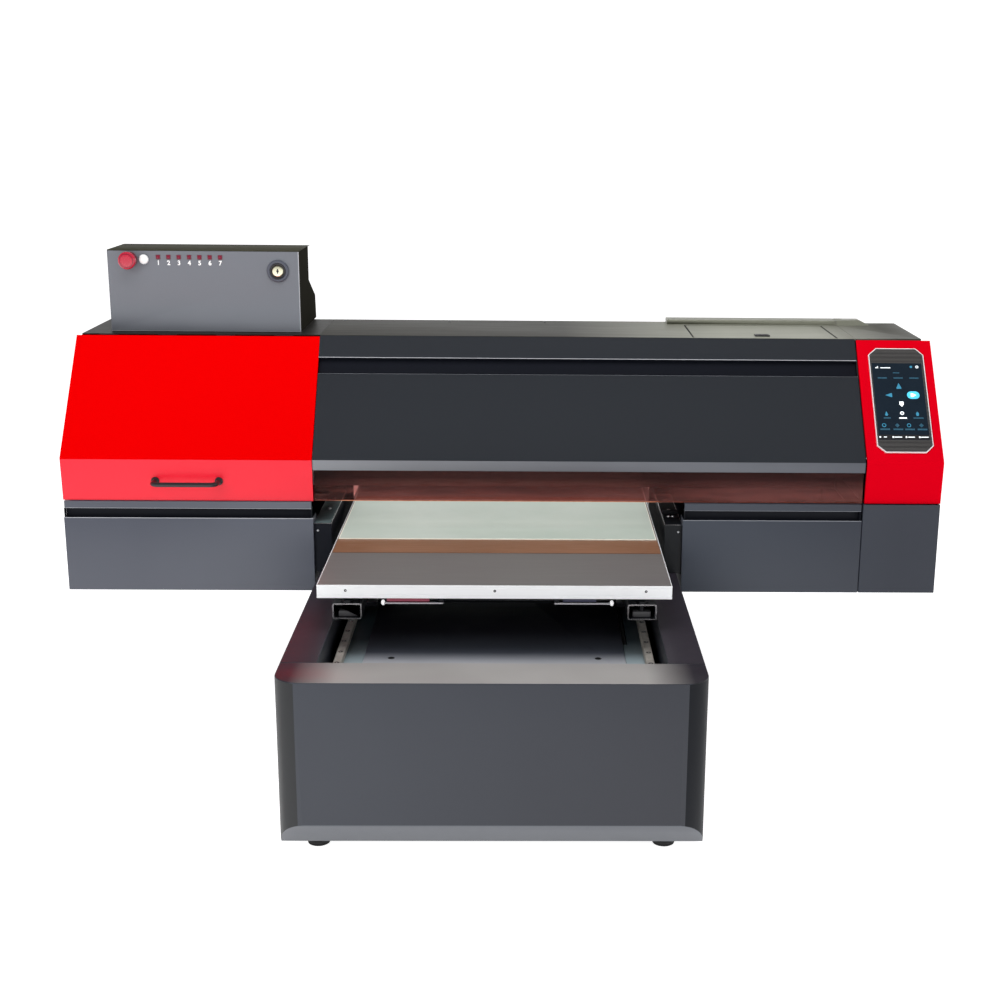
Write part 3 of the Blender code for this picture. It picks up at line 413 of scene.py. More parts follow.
def pale_board():
    m, nt, b = new_material("pale_board")
    vec = coords(nt)
    slow = noise(nt, vec, 4.0, 4.0)
    mid = noise(nt, vec, 60.0, 3.0)
    fine = noise(nt, vec, 1400.0, 2.0)
    base = mix(nt, spread(nt, slow, 0, 1), (0.49, 0.575, 0.50), (0.60, 0.660, 0.60))
    base = mix(nt, spread(nt, mid, 0, 0.16), base, (0.68, 0.72, 0.66))
    nt.links.new(base, b.inputs["Base Color"])
    nt.links.new(spread(nt, mid, 0.34, 0.46), b.inputs["Roughness"])
    bump(nt, b, fine, 0.12, 0.00004)
    return m


def acrylic():
    """Red-brown tinted clear sheet with smears along it."""
    m, nt, b = new_material("acrylic_tinted")
    vec = coords(nt)
    wave = noise(nt, coords(nt, (0.35, 1.0, 1.6)), 7.0, 3.0, 0.5, 0.6)
    smear = noise(nt, coords(nt, (0.45, 1.0, 4.5)), 24.0, 5.0, 0.65, 0.4)
    base = mix(nt, spread(nt, wave, 0, 1), (0.42, 0.150, 0.130), (0.50, 0.205, 0.190))
    base = mix(nt, spread(nt, smear, 0, 0.5, 0.45, 0.75), base, (0.30, 0.075, 0.060))
    sep = node(nt, "ShaderNodeSeparateXYZ")
    nt.links.new(vec, sep.inputs[0])
    # painted shade: darker towards the top of the sheet, where the dark inside of the head shows through
    base = mix(nt, spread(nt, sep.outputs["Z"], 0, 0.9, 0.512, 0.548), base, (0.070, 0.024, 0.024))
    nt.links.new(base, b.inputs["Base Color"])
    nt.links.new(spread(nt, smear, 0.05, 0.16), b.inputs["Roughness"])
    right = spread(nt, sep.outputs["X"], 0, 0.16, OX + 0.25, OX + 0.50)
    cloud = math_node(nt, "SUBTRACT", spread(nt, smear, 0.99, 0.86, 0.42, 0.64), right)
    nt.links.new(cloud, b.inputs["Transmission Weight"])
    b.inputs["IOR"].default_value = 1.12
    b.inputs["Specular IOR Level"].default_value = 0.30
    bump(nt, b, wave, 0.15, 0.0008)
    return m


BEDCOAT, COPPER, PALE, ACRYLIC = bed_coat(), copper_board(), pale_board(), acrylic()
CREAM = plastic("board_edge", (0.86, 0.84, 0.74), 0.5, 0.4, 0.03)


def acrylic_edge_painted_glow():
    """Polished lower edge of the sheet, with a painted glow: orange where the copper bed lies beneath, as a painted
    reflection of it, and dark past the bed's ends.
    """
    m, nt, b = new_material("acrylic_edge_painted_glow")
    vec = coords(nt)
    sep = node(nt, "ShaderNodeSeparateXYZ")
    nt.links.new(vec, sep.inputs[0])
    off = math_node(nt, "ABSOLUTE", math_node(nt, "SUBTRACT", sep.outputs["X"], OX))
    smear = noise(nt, coords(nt, (1.0, 1.0, 1.0)), 60.0, 4.0)
    inner = mix(nt, spread(nt, smear, 0, 1), (0.52, 0.17, 0.075), (0.66, 0.26, 0.13))
    base = mix(nt, spread(nt, off, 0, 1, 0.325, 0.345), inner, (0.16, 0.035, 0.016))
    nt.links.new(base, b.inputs["Base Color"])
    # painted light: the edge glows with its own colour, though it is no lamp
    nt.links.new(base, b.inputs["Emission Color"])
    b.inputs["Emission Strength"].default_value = 0.10
    nt.links.new(spread(nt, smear, 0.2, 0.35), b.inputs["Roughness"])
    return m


ACREDGE_PAINTED_GLOW = acrylic_edge_painted_glow()
SCREEN = plastic("screen_glass", (0.004, 0.007, 0.012), 0.12, 0.3, 0.04, 200.0, 0.02, 0.0, (0.012, 0.024, 0.038), 0.40)
SILVER = metal("bezel_silver", (0.84, 0.82, 0.84), 0.22, scale=600.0)
BRIGHT = metal("bezel_bright", (0.86, 0.85, 0.87), 0.30, (1, 1, 1), 600.0, 0.08, 0.03, 0.03, 0.25)
CYAN = plastic("icon_cyan", (0.02, 0.11, 0.17), 0.3, 0.5, 0.03, 200.0, 0.02, 0.0, (0.030, 0.24, 0.40), 0.75)
CYANHI = plastic("icon_bright", (0.05, 0.40, 0.55), 0.3, 0.5, 0.03, 200.0, 0.02, 0.0, (0.06, 0.42, 0.66), 0.9)
CYANLOW = plastic("icon_dim", (0.015, 0.05, 0.08), 0.3, 0.5, 0.03, 200.0, 0.02, 0.0, (0.018, 0.085, 0.13), 0.6)
ICONWHITE = plastic("icon_white", (0.70, 0.75, 0.78), 0.3, 0.5, 0.03, 200.0, 0.02, 0.0, (0.85, 0.9, 0.95), 0.9)


def bezel_weave():
    """Dark woven carbon-like skin of the screen's frame."""
    m, nt, b = new_material("bezel_weave")
    vec = coords(nt)
    rot = node(nt, "ShaderNodeMapping")
    rot.inputs["Rotation"].default_value = (0, math.radians(45), 0)
    rot.inputs["Scale"].default_value = (420, 420, 420)
    nt.links.new(vec, rot.inputs["Vector"])
    chk = node(nt, "ShaderNodeTexChecker")
    chk.inputs["Scale"].default_value = 1.0
    nt.links.new(rot.outputs["Vector"], chk.inputs["Vector"])
    fine = noise(nt, vec, 900.0, 2.0)
    base = mix(nt, chk.outputs["Fac"], (0.024, 0.023, 0.023), (0.072, 0.068, 0.066))
    base = mix(nt, spread(nt, fine, 0, 0.4), base, (0.028, 0.028, 0.029))
    nt.links.new(base, b.inputs["Base Color"])
    nt.links.new(spread(nt, fine, 0.25, 0.40), b.inputs["Roughness"])
    bump(nt, b, chk.outputs["Fac"], 0.2, 0.0001)
    return m


WEAVE = bezel_weave()


# ---------------------------------------------------------------- geometry
def body_of(n):
    return NODES[n]["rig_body"]


def merge(dst, src, index=0):
    for f in src.faces:
        f.material_index = index
    me = bpy.data.meshes.new("tmp")
    src.to_mesh(me)
    src.free()
    dst.from_mesh(me)
    bpy.data.meshes.remove(me)
    return dst


def b_box(x0, x1, y0, y1, z0, z1, bevel=0.0, segments=2, axes="xyz"):
    bm = bmesh.new()
    bmesh.ops.create_cube(bm, size=1.0)
    bmesh.ops.scale(bm, vec=(x1 - x0, y1 - y0, z1 - z0), verts=bm.verts)
    if bevel:
        es = []
        for e in bm.edges:
            d = e.verts[0].co - e.verts[1].co
            if "xyz"[max(range(3), key=lambda i: abs(d[i]))] in axes:
                es.append(e)
        bmesh.ops.bevel(bm, geom=es, offset=bevel, segments=segments, profile=0.5, affect="EDGES",
                        clamp_overlap=True)
    bmesh.ops.translate(bm, verts=bm.verts, vec=V((x0 + x1) / 2, (y0 + y1) / 2, (z0 + z1) / 2))
    return bm


def b_prism(pts, a0, a1, axis):
    bm = bmesh.new()
    if axis == "x":
        ring, push = [V(a0, p, q) for p, q in pts], Vector((a1 - a0, 0, 0))
    elif axis == "y":
        ring, push = [V(p, a0, q) for p, q in pts], Vector((0, a1 - a0, 0))
    else:
        ring, push = [V(p, q, a0) for p, q in pts], Vector((0, 0, a1 - a0))
    f = bm.faces.new([bm.verts.new(v) for v in ring])
    out = bmesh.ops.extrude_face_region(bm, geom=[f])
    bmesh.ops.translate(bm, verts=[g for g in out["geom"] if isinstance(g, bmesh.types.BMVert)], vec=push)
    bmesh.ops.recalc_face_normals(bm, faces=bm.faces)
    return bm


def b_turn(profile, centre, direction, segments=24, closed=False):
    """profile: (radius, height) along direction.  closed joins its two ends,
    which makes a ring; otherwise it starts and ends on the axis."""
    bm = bmesh.new()
    rows = []
    for r, h in profile:
        if r < 1e-7:
            rows.append([bm.verts.new((0, 0, h))])
        else:
            rows.append([bm.verts.new((r * math.cos(2 * math.pi * k / segments),
                                       r * math.sin(2 * math.pi * k / segments), h)) for k in range(segments)])
    pairs = list(zip(rows, rows[1:]))
    if closed:
        pairs.append((rows[-1], rows[0]))
    for a, b in pairs:
        for k in range(segments):
            ring = []
            for v in (a[k % len(a)], a[(k + 1) % segments % len(a)], b[(k + 1) % segments % len(b)], b[k % len(b)]):
                if v not in ring:
                    ring.append(v)
            if len(ring) > 2:
                bm.faces.new(ring)
    q = Vector((0, 0, 1)).rotation_difference(Vector(direction).normalized()).to_matrix().to_4x4()
    bmesh.ops.transform(bm, matrix=Matrix.Translation(V(*centre)) @ q, verts=bm.verts)
    bmesh.ops.recalc_face_normals(bm, faces=bm.faces)
    return bm


def b_tube(points, r, segments=10, closed_ends=True):
    """A round bar along points (frame coordinates)."""
    bm = bmesh.new()
    rows = []
    n = len(points)
    ref = None
    for i, p in enumerate(points):
        a = points[max(i - 1, 0)]
        b = points[min(i + 1, n - 1)]
        d = (b - a).normalized()
        if ref is None:
            ref = Vector((0, 0, 1)) if abs(d.z) < 0.9 else Vector((1, 0, 0))
        u = d.cross(ref).normalized()
        w = u.cross(d)
        ref = w
        rows.append([bm.verts.new(p + (u * math.cos(2 * math.pi * k / segments) +
                                       w * math.sin(2 * math.pi * k / segments)) * r) for k in range(segments)])
    for a, b in zip(rows, rows[1:]):
        for k in range(segments):
            bm.faces.new((a[k], a[(k + 1) % segments], b[(k + 1) % segments], b[k]))
    bm.faces.new(rows[0])
    bm.faces.new(rows[-1])
    bmesh.ops.recalc_face_normals(bm, faces=bm.faces)
    return bm


def piece(name, bm, mats, body, replaces=(), width=0.0, segments=2, limit=40, smooth=38):
    """One finished mesh piece: material slots, edge rounding, its body."""
    me = bpy.data.meshes.new(name)
    bm.to_mesh(me)
    bm.free()
    for m in mats if isinstance(mats, (list, tuple)) else [mats]:
        me.materials.append(m)
    ob = bpy.data.objects.new(name, me)
    bpy.context.scene.collection.objects.link(ob)
    me.shade_smooth()
    me.set_sharp_from_angle(angle=math.radians(smooth))
    if width:
        b = ob.modifiers.new("edges", "BEVEL")
        b.width = width
        b.segments = segments
        b.limit_method = "ANGLE"
        b.angle_limit = math.radians(limit)
        b.harden_normals = True
        b.miter_outer = "MITER_ARC"
    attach(ob, body)
    if replaces:
        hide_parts(*replaces)
    return ob


def refine(n, mats, rule=None, width=0.0006, folds=(), name=None, extra=None, segments=2, highlit_edges=None):
    """The shape of a CAD node again, with rounded folds and edges and with a
    material for each part of its surface."""
    bm = bmesh.new()
    bm.from_mesh(NODES[n].data)
    bmesh.ops.remove_doubles(bm, verts=bm.verts, dist=3e-6)
    bmesh.ops.dissolve_limit(bm, angle_limit=math.radians(0.7), verts=bm.verts, edges=bm.edges)
    for test, radius, segs in folds:
        es = []
        for e in bm.edges:
            if len(e.link_faces) == 2 and e.calc_face_angle(0) > math.radians(12):
                a, b = bench(e.verts[0].co), bench(e.verts[1].co)
                if test(a, b):
                    es.append(e)
        if es:
            bmesh.ops.bevel(bm, geom=es, offset=radius, segments=segs, profile=0.5, affect="EDGES",
                            clamp_overlap=True)
    bm.normal_update()
    if rule:
        for f in bm.faces:
            f.material_index = rule(bench(f.calc_center_median()), f.normal)
    # chosen edges are rounded again and take the last material slot, a pale coat painted on as a highlight along them
    for test, radius, segs in highlit_edges or ():
        es = []
        for e in bm.edges:
            if len(e.link_faces) == 2 and e.calc_face_angle(0) > math.radians(12):
                a, b = bench(e.verts[0].co), bench(e.verts[1].co)
                if test(a, b):
                    es.append(e)
        if es:
            bmesh.ops.bevel(bm, geom=es, offset=radius, segments=segs, profile=0.5, affect="EDGES",
                            clamp_overlap=True, material=len(mats) - 1)
    if extra:
        extra(bm)
    return piece(name or n + "_shell", bm, mats, body_of(n), (n,), width, segments)


def screw(bm, at, direction, r=0.0040, h=0.0018, index=0, washer=False, socket=True):
    """A button or socket head seen from outside: dome, recess and edge."""
    prof = [(0, -0.001), (r, -0.001), (r, h * 0.45), (r * 0.86, h * 0.85), (r * 0.55, h)]
    if socket:
        prof += [(r * 0.50, h * 0.45), (0, h * 0.40)]
    else:
        prof += [(0, h)]
    merge(bm, b_turn(prof, at, direction, 14), index)
    if washer:
        merge(bm, b_turn([(0, -0.0008), (r * 1.45, -0.0008), (r * 1.45, 0.0003), (r * 1.3, 0.0005), (0, 0.0005)],
                         at, direction, 16), index)


# ---------------------------------------------------------------- the base
BASE_HALF, OPEN_HALF, BASE_LEN, RIM_Z, CAP_LEN = 0.3787, 0.3127, 1.660, 0.3413, 0.1022
BASE_BOTTOM, CHAMFER_Y, CHAMFER_Z = 0.022, 0.047, 0.0527
NOSE, CREST, HEAD_LOW, LID_TOP = (0.6510, 0.5876), (0.8406, 0.8197), (0.8062, 0.7770), (0.7810, 0.7470)
SEAM_X, LEFT_IN, BACK_Y = 0.7670, -0.3875, 1.1010
WING_L, WING_R, WING_IN, FACE_Y = -0.908, 0.932, 0.3885, 0.6514


def near(v, t, tol=0.0012):
    return abs(v - t) < tol


def rim_fold(a, b):
    return near(a.z, RIM_Z) and near(b.z, RIM_Z)


def chamfer_fold(a, b):
    return (near(a.z, BASE_BOTTOM + CHAMFER_Z, 0.004) and near(b.z, BASE_BOTTOM + CHAMFER_Z, 0.004)
            and a.y < 0.004 and b.y < 0.004 and abs(a.x - b.x) > 0.1)


def cap_rule(c, n):
    if n.z > 0.9 and c.z > RIM_Z - 0.003:
        return 1
    if n.z < -0.3 and n.y < -0.3 and c.z < BASE_BOTTOM + CHAMFER_Z + 0.003:
        return 2
    if n.y < -0.2 and abs(n.z) < 0.2:
        return 3 if n.x > 0.2 else (4 if n.x < -0.2 else 0)
    return 0


def front_rim_painted_light():
    """The front strip of the rim, with painted light: pale between the corners, where it lies open to the light, and
    dark in the shade towards them.
    """
    m, nt, b = new_material("coat_rim_front_painted_light")
    vec = coords(nt)
    sep = node(nt, "ShaderNodeSeparateXYZ")
    nt.links.new(vec, sep.inputs[0])
    off = math_node(nt, "ABSOLUTE", math_node(nt, "SUBTRACT", sep.outputs["X"], OX))
    along = spread(nt, off, 1.0, 0.0, 0.270, 0.352)
    slow = noise(nt, vec, 3.0, 3.0)
    fine = noise(nt, vec, 1000.0, 2.0)
    pale = mix(nt, spread(nt, slow, 0, 1), (0.265, 0.250, 0.243), (0.350, 0.336, 0.328))
    base = mix(nt, along, (0.022, 0.019, 0.026), pale)
    nt.links.new(base, b.inputs["Base Color"])
    nt.links.new(spread(nt, slow, 0.32, 0.38), b.inputs["Roughness"])
    bump(nt, b, fine, 0.3, 0.00008)
    return m


# the base's turned corners take near-black, low-gloss copies of the coat as painted shade, the right corner darker than
# the left
refine("base_front_cap", [BASE_PAINTED_SHADE, front_rim_painted_light(), CHAMFER, paint("coat_corner_painted_shade", (0.010, 0.011, 0.014), 0.5, spec=0.10),
        paint("coat_corner_left", (0.026, 0.027, 0.029), 0.46, spec=0.22)], rule=cap_rule,
       folds=[(rim_fold, 0.0016, 3), (chamfer_fold, 0.0020, 3)], width=0.0005)
refine("base_rear_cap", [BASE_PAINTED_SHADE, RIM, BASE_PAINTED_SHADE, BASE_PAINTED_SHADE], rule=cap_rule, folds=[(rim_fold, 0.0016, 3)], width=0.0005)
for n in ("base_side_left", "base_side_right"):
    refine(n, [BASE_PAINTED_SHADE, RIM, BASE_PAINTED_SHADE, BASE_PAINTED_SHADE], rule=cap_rule, folds=[(rim_fold, 0.0014, 3)], width=0.0004)

# screws of the access panels on the sides of the base
for s, side in ((-1, "left"), (1, "right")):
    bm = bmesh.new()
    for y in (0.14, 0.42, 0.83, 1.24, 1.52):
        for z in (0.050, 0.310):
            screw(bm, (s * (BASE_HALF - 0.0018), y, z), (s, 0, 0), 0.0042, 0.0017)
    piece("base_screws_" + side, bm, BLACKSCREW, "frame")
bm = bmesh.new()
for x in (-0.34, -0.13, 0.13, 0.34):
    for z in (0.050, 0.310):
        if abs(x) < 0.33:
            screw(bm, (x, BASE_LEN - 0.0018, z), (0, 1, 0), 0.0042, 0.0017)
for x in (-0.2265, -0.2935):
    screw(bm, (x if x < -0.25 else -0.2265, BASE_LEN - 0.0018, 0.110), (0, 1, 0), 0.0026, 0.0012)
piece("base_screws_rear", bm, BLACKSCREW, "frame")

# floor sheet that closes the base behind the welded floor pan
pts = [(0.3745, 1.6068)]
for s, start in ((1, 0), (-1, 90)):
    for k in range(9):
        a = math.radians(start + 90 * k / 8)
        pts.append((s * 0.3315 + 0.043 * math.cos(a), 1.6130 + 0.043 * math.sin(a)))
pts.append((-0.3745, 1.6068))
piece("base_floor_rear", b_prism(pts, 0.0230, 0.0250, "z"), BLACKCOAT, "frame", width=0.0003)

# louvres on the rear cap
bm = bmesh.new()
for x in (0.02, 0.19):
    for k in range(6):
        z = 0.150 + 0.020 * k
        prof = [(BASE_LEN - 0.0012, z + 0.0085), (BASE_LEN - 0.0012, z - 0.0005), (BASE_LEN + 0.0036, z),
                (BASE_LEN + 0.0030, z + 0.0015)]
        merge(bm, b_prism(prof, x, x + 0.13, "x"))
piece("rear_louvres", bm, BASE_PAINTED_SHADE, "frame", width=0.0003)

refine("chassis_frame", [BLACKCOAT, TEAL_PAINTED_LIGHT, STEELX], width=0.0008,
       rule=lambda c, n: 1 if c.z > 0.19 and n.z > 0.9 and abs(c.x) > 0.25 else 0)


def deck_fold(a, b):
    return near(a.z, 0.2904) and near(b.z, 0.2904) and abs(a.y - b.y) + abs(a.x - b.x) > 0.05


refine("deck_plate", [DECK_PAINTED_LIGHT], folds=[(deck_fold, 0.0016, 3)], width=0.0004)

# rubber grommet rims of the deck's two holes, and its fixing screws
bm = bmesh.new()
for x in (-0.1955, 0.1955):
    merge(bm, b_turn([(0.0040, 0.2890), (0.0040, 0.2908), (0.0056, 0.2910), (0.0066, 0.2905), (0.0066, 0.2900),
                      (0.0048, 0.2890)], (x, 0.268, 0), (0, 0, 1), 20, closed=True))
piece("deck_grommets", bm, RUBBER, "frame")
bm = bmesh.new()
for x in (-0.225, 0.225):
    for y in (0.185, 0.60, 1.03, 1.445):
        screw(bm, (x, y, 0.2902), (0, 0, 1), 0.0036, 0.0014)
piece("deck_screws", bm, BLACKSCREW, "frame")

RAILSTEEL = metal("rail_steel", (0.46, 0.43, 0.39), 0.34, (1, 0.35, 1), 120.0, 0.55, 0.15, 0.30, 0.35)
for s, side in ((-1, "left"), (1, "right")):
    refine("rail_" + side, [RAILSTEEL], width=0.0003)
    holes, bolts = bmesh.new(), bmesh.new()
    k = 0
    while 0.148 + 0.060 * k < 1.54:
        y = 0.148 + 0.060 * k
        merge(holes, b_turn([(0.0034, 0.3026), (0.0034, 0.3032), (0.0047, 0.3032), (0.0047, 0.3026)],
                            (s * 0.2905, y, 0), (0, 0, 1), 16, closed=True))
        screw(bolts, (s * 0.2905, y, 0.3026), (0, 0, 1), 0.0031, 0.0006)
        k += 1
    piece("rail_holes_" + side, holes, BLACKCOAT, "frame")
    piece("rail_bolts_" + side, bolts, ZINC, "frame")

# thin guard strips between the deck and the beams
bm = bmesh.new()
merge(bm, b_box(-0.2568, -0.2479, 0.1605, 1.4695, 0.2866, 0.2881, 0.0004, 1))
merge(bm, b_box(0.2479, 0.2568, 0.1605, 0.3550, 0.2866, 0.2881, 0.0004, 1))
piece("beam_guards", bm, TEAL_PAINTED_LIGHT, "frame")

# dark stops beside the rails
bm = bmesh.new()
for s in (-1, 1):
    merge(bm, b_box(s * 0.2905 - 0.0095, s * 0.2905 + 0.0095, 0.1105, 0.1172, 0.2883, 0.3085, 0.0012))
piece("rail_stops", bm, RUBBER, "frame")

for n in ("foot_front_left", "foot_front_right", "foot_rear_left", "foot_rear_right"):
    lo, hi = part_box(n)
    cx, cy = (lo.x + hi.x) / 2 - OX, (lo.y + hi.y) / 2 - OY
    bm = bmesh.new()
    merge(bm, b_turn([(0, 0.0), (0.0180, 0.0), (0.0200, 0.0012), (0.0205, 0.0030), (0.0202, 0.0042), (0.0195, 0.0048),
                      (0.0202, 0.0056), (0.0202, 0.0105), (0.0185, 0.0130), (0.0, 0.0135)], (cx, cy, 0),
                     (0, 0, 1), 40), 0)
    merge(bm, b_turn([(0, 0.0130), (0.0140, 0.0130), (0.0138, 0.0150), (0.0085, 0.0155), (0, 0.0155)], (cx, cy, 0),
                     (0, 0, 1), 32), 1)
    merge(bm, b_turn([(0, 0.0153), (0.0085, 0.0153), (0.0085, 0.0195), (0.0078, 0.0202), (0, 0.0202)], (cx, cy, 0),
                     (0, 0, 1), 6), 1)
    merge(bm, b_turn([(0, 0.0200), (0.0050, 0.0200), (0.0050, 0.0222), (0, 0.0222)], (cx, cy, 0), (0, 0, 1), 16), 1)
    piece(n + "_pad", bm, [RUBBER, ZINC], "frame", (n,), width=0.0003, limit=50)

# mains inlet and rocker
refine("power_inlet", [BLACK], width=0.0004)
bm = bmesh.new()
for dx, dz in ((-0.007, -0.001), (0.007, -0.001), (0.0, 0.003)):
    merge(bm, b_box(-0.260 + dx - 0.001, -0.260 + dx + 0.001, BASE_LEN - 0.0145, BASE_LEN - 0.0035,
                    0.110 + dz - 0.002, 0.110 + dz + 0.002, 0.0004, 1))
piece("inlet_pins", bm, ZINC, "frame")
refine("power_switch", [BLACK], width=0.0006)
bm = bmesh.new()
for x0, x1, z0, z1 in ((-0.2125, -0.1875, 0.0925, 0.0945), (-0.2125, -0.1875, 0.1255, 0.1275),
                       (-0.2125, -0.2105, 0.0935, 0.1265), (-0.1895, -0.1875, 0.0935, 0.1265)):
    merge(bm, b_box(x0, x1, BASE_LEN + 0.0001, BASE_LEN + 0.0020, z0, z1, 0.0005, 1))
piece("switch_bezel", bm, BLACK, "frame")

# ---------------------------------------------------------------- bed drive
for n in ("y_belt", "x_belt"):
    refine(n, [RUBBER], width=0)
for n in ("y_idler_pulley", "y_motor_pulley", "x_idler_pulley", "x_motor_pulley"):
    refine(n, [STEEL], width=0.0003, folds=())
for n in ("y_motor", "x_motor"):
    refine(n, [BLACK, ALU], width=0.0008,
           rule=(lambda c, nn: 1 if abs(nn.x) > 0.9 else 0) if n == "y_motor" else
           (lambda c, nn: 1 if abs(nn.y) > 0.9 else 0))


def saddle_rule(c, n):
    if abs(c.x) > 0.272 and c.z < 0.3183:
        return 1
    if abs(c.x) > 0.24 and n.z > 0.9:
        return 2
    return 0


refine("bed_saddle", [BLACKCOAT, STEEL, STEELX], rule=saddle_rule, width=0.0006)
bm = bmesh.new()
for s in (-1, 1):
    for y in (0.5305, 1.0105):
        for dx in (-0.009, 0.011):
            for dy in (-0.018, 0.018):
                screw(bm, (s * 0.2900 + dx, y + dy, 0.3264), (0, 0, 1), 0.0036, 0.0028)
piece("saddle_bolts", bm, ZINC, "saddle")

# ---------------------------------------------------------------- the bed
BED_HALF, BED_Y0, BED_Y1, BED_Z0, BED_Z1 = 0.3325, 0.2705, 1.2505, 0.4077, 0.4337
bm = bmesh.new()
# extruded front and rear faces carry three shallow lines
edge = [(BED_Y0, BED_Z0), (BED_Y1, BED_Z0)]
for z in (0.4140, 0.4285):
    edge += [(BED_Y1, z - 0.0007), (BED_Y1 - 0.0010, z), (BED_Y1, z + 0.0007)]
edge += [(BED_Y1, BED_Z1 - 0.0003), (BED_Y0, BED_Z1 - 0.0003)]
for z in (0.4285, 0.4140):
    edge += [(BED_Y0, z + 0.0007), (BED_Y0 + 0.0010, z), (BED_Y0, z - 0.0007)]
merge(bm, b_prism(edge, -BED_HALF, BED_HALF, "x"))
for f in bm.faces:
    f.material_index = 1 if abs(f.normal.x) > 0.9 else 0
piece("bed_plate_body", bm, [ALU, ALUY], "bed", ("bed_plate",), width=0.0004)
bm = b_box(-BED_HALF + 0.0016, BED_HALF - 0.0016, BED_Y0 + 0.0012, BED_Y1 - 0.0012, BED_Z1 - 0.0004, BED_Z1, 0.0002, 1)
piece("bed_top_coat", bm, BEDCOAT, "bed")
bm = bmesh.new()
for x in (-0.2790, 0.0, 0.2835):
    screw(bm, (x, BED_Y0 + 0.0003, 0.4228), (0, -1, 0), 0.0026, 0.0007)
    screw(bm, (x, BED_Y1 - 0.0009, 0.4228), (0, 1, 0), 0.0030, 0.0006)
piece("bed_edge_screws", bm, BLACKSCREW, "bed")
refine("bed_sheet", [COPPER], width=0.0003)

# the pale board laid over the middle of the bed
bm = b_box(-0.3275, 0.3275, 0.5820, 0.9150, 0.4354, 0.4378, 0.0004, 1)
bm2 = b_box(-0.3250, 0.3250, 0.5840, 0.9130, 0.4376, 0.4379, 0.0001, 1)
piece("pale_board_edge", bm, [CREAM], "bed")
piece("pale_board_face", bm2, [PALE], "bed")

for s, side in ((-1, "left"), (1, "right")):
    c = s * 0.277
    y0 = BED_Y0 + 0.002
    refine("bed_tube_" + side, [BLACKCOAT], width=0.0004)
    # bare cut end of the tube
    bm = bmesh.new()
    hx, hz, r, zc = 0.0277, 0.0157, 0.0042, 0.3815

    def ring(w, h, rr):
        pts = []
        for cx, cz, a0 in ((w - rr, h - rr, 0), (-w + rr, h - rr, 90), (-w + rr, -h + rr, 180), (w - rr, -h + rr, 270)):
            for k in range(6):
                a = math.radians(a0 + 18 * k)
                pts.append((c + cx + rr * math.cos(a), zc + cz + rr * math.sin(a)))
        return pts
    outer, inner = ring(hx - 0.0003, hz - 0.0003, r), ring(hx - 0.0028, hz - 0.0028, r - 0.0022)
    rows = []
    for pts, y in ((outer, y0 - 0.0006), (outer, y0 + 0.0012), (inner, y0 + 0.0012), (inner, y0 - 0.0006)):
        rows.append([bm.verts.new(V(x, y, z)) for x, z in pts])
    m = len(outer)
    for i in range(4):
        a, b = rows[i], rows[(i + 1) % 4]
        for k in range(m):
            bm.faces.new((a[k], a[(k + 1) % m], b[(k + 1) % m], b[k]))
    bmesh.ops.recalc_face_normals(bm, faces=bm.faces)
    piece("tube_rim_" + side, bm, SILVER, "bed")
    bm = bmesh.new()
    merge(bm, b_box(c - 0.0170, c + 0.0170, y0 + 0.010, y0 + 0.036, 0.3687, 0.3790, 0.0008, 2), 0)
    merge(bm, b_turn([(0, 0.3786), (0.0060, 0.3786), (0.0060, 0.3945), (0, 0.3945)], (c, y0 + 0.020, 0), (0, 0, 1), 16),
          1)
    piece("levelling_block_" + side, bm, [plastic("block_grey_" + side, (0.075, 0.075, 0.08), 0.4), BLACKSCREW], "bed")
    bm = bmesh.new()
    for y in (BED_Y0 + 0.0125, 1.232):
        merge(bm, b_turn([(0, 0.3972), (0.0108, 0.3972), (0.0108, 0.4012), (0.0100, 0.4018), (0, 0.4018)], (c, y, 0),
                         (0, 0, 1), 6))
    piece("levelling_nuts_" + side, bm, BLACKSCREW, "bed")

# white ball plastic made to glow, painted light that keeps it bright in the shade under the bed
KNOB_PAINTED_GLOW = plastic("knob_white_painted_glow", (0.92, 0.92, 0.92), 0.32, 0.5, 0.02, 700.0, 0.1, 0.0, (1.0, 1.0, 1.0), 0.40)
# vacuum valves: steel lever, coloured sleeve, white ball
for s, side, xh, xe, col in ((-1, "left", -0.1010, -0.2150, PINK), (1, "right", 0.1160, 0.2250, PURPLE)):
    yv = BED_Y0 + 0.0145
    d = 1 if xe > xh else -1
    bm = bmesh.new()
    merge(bm, b_turn([(0, 0.3925), (0.0045, 0.3925), (0.0050, 0.3932), (0.0050, 0.3990), (0.0070, 0.4000),
                      (0.0070, 0.4072), (0, 0.4072)], (xh, yv + 0.002, 0), (0, 0, 1), 24), 0)
    merge(bm, b_tube([V(xh - d * 0.004, yv - 0.004, 0.3953), V(xe - d * 0.007, yv - 0.004, 0.3953)], 0.0021, 12), 1)
    piece("valve_lever_" + side, bm, [BLACKSCREW, SILVER], "valve_" + side, ("vacuum_lever_" + side,),
          width=0.0003, limit=50)
    a, b = sorted((xh + d * (0.022 if s < 0 else 0.012), xe - d * (0.012 if s < 0 else 0.034)))
    bm = b_box(a, b, yv - 0.0035, yv + 0.0040, 0.3980, 0.4052, 0.0016, 3)
    piece("valve_sleeve_" + side, bm, col, "valve_" + side)
    bm = bmesh.new()
    bmesh.ops.create_uvsphere(bm, u_segments=20, v_segments=14, radius=1.0)
    bmesh.ops.scale(bm, vec=(0.0038, 0.0038, 0.0056), verts=bm.verts)
    bmesh.ops.translate(bm, verts=bm.verts, vec=V(xe - d * 0.0050, yv - 0.003, 0.3962))
    piece("valve_ball_" + side, bm, KNOB_PAINTED_GLOW, "valve_" + side, smooth=60)

# ---------------------------------------------------------------- gantry
LEGFRONT = paint("coat_leg_front", (0.008, 0.009, 0.011), 0.45, spec=0.20)


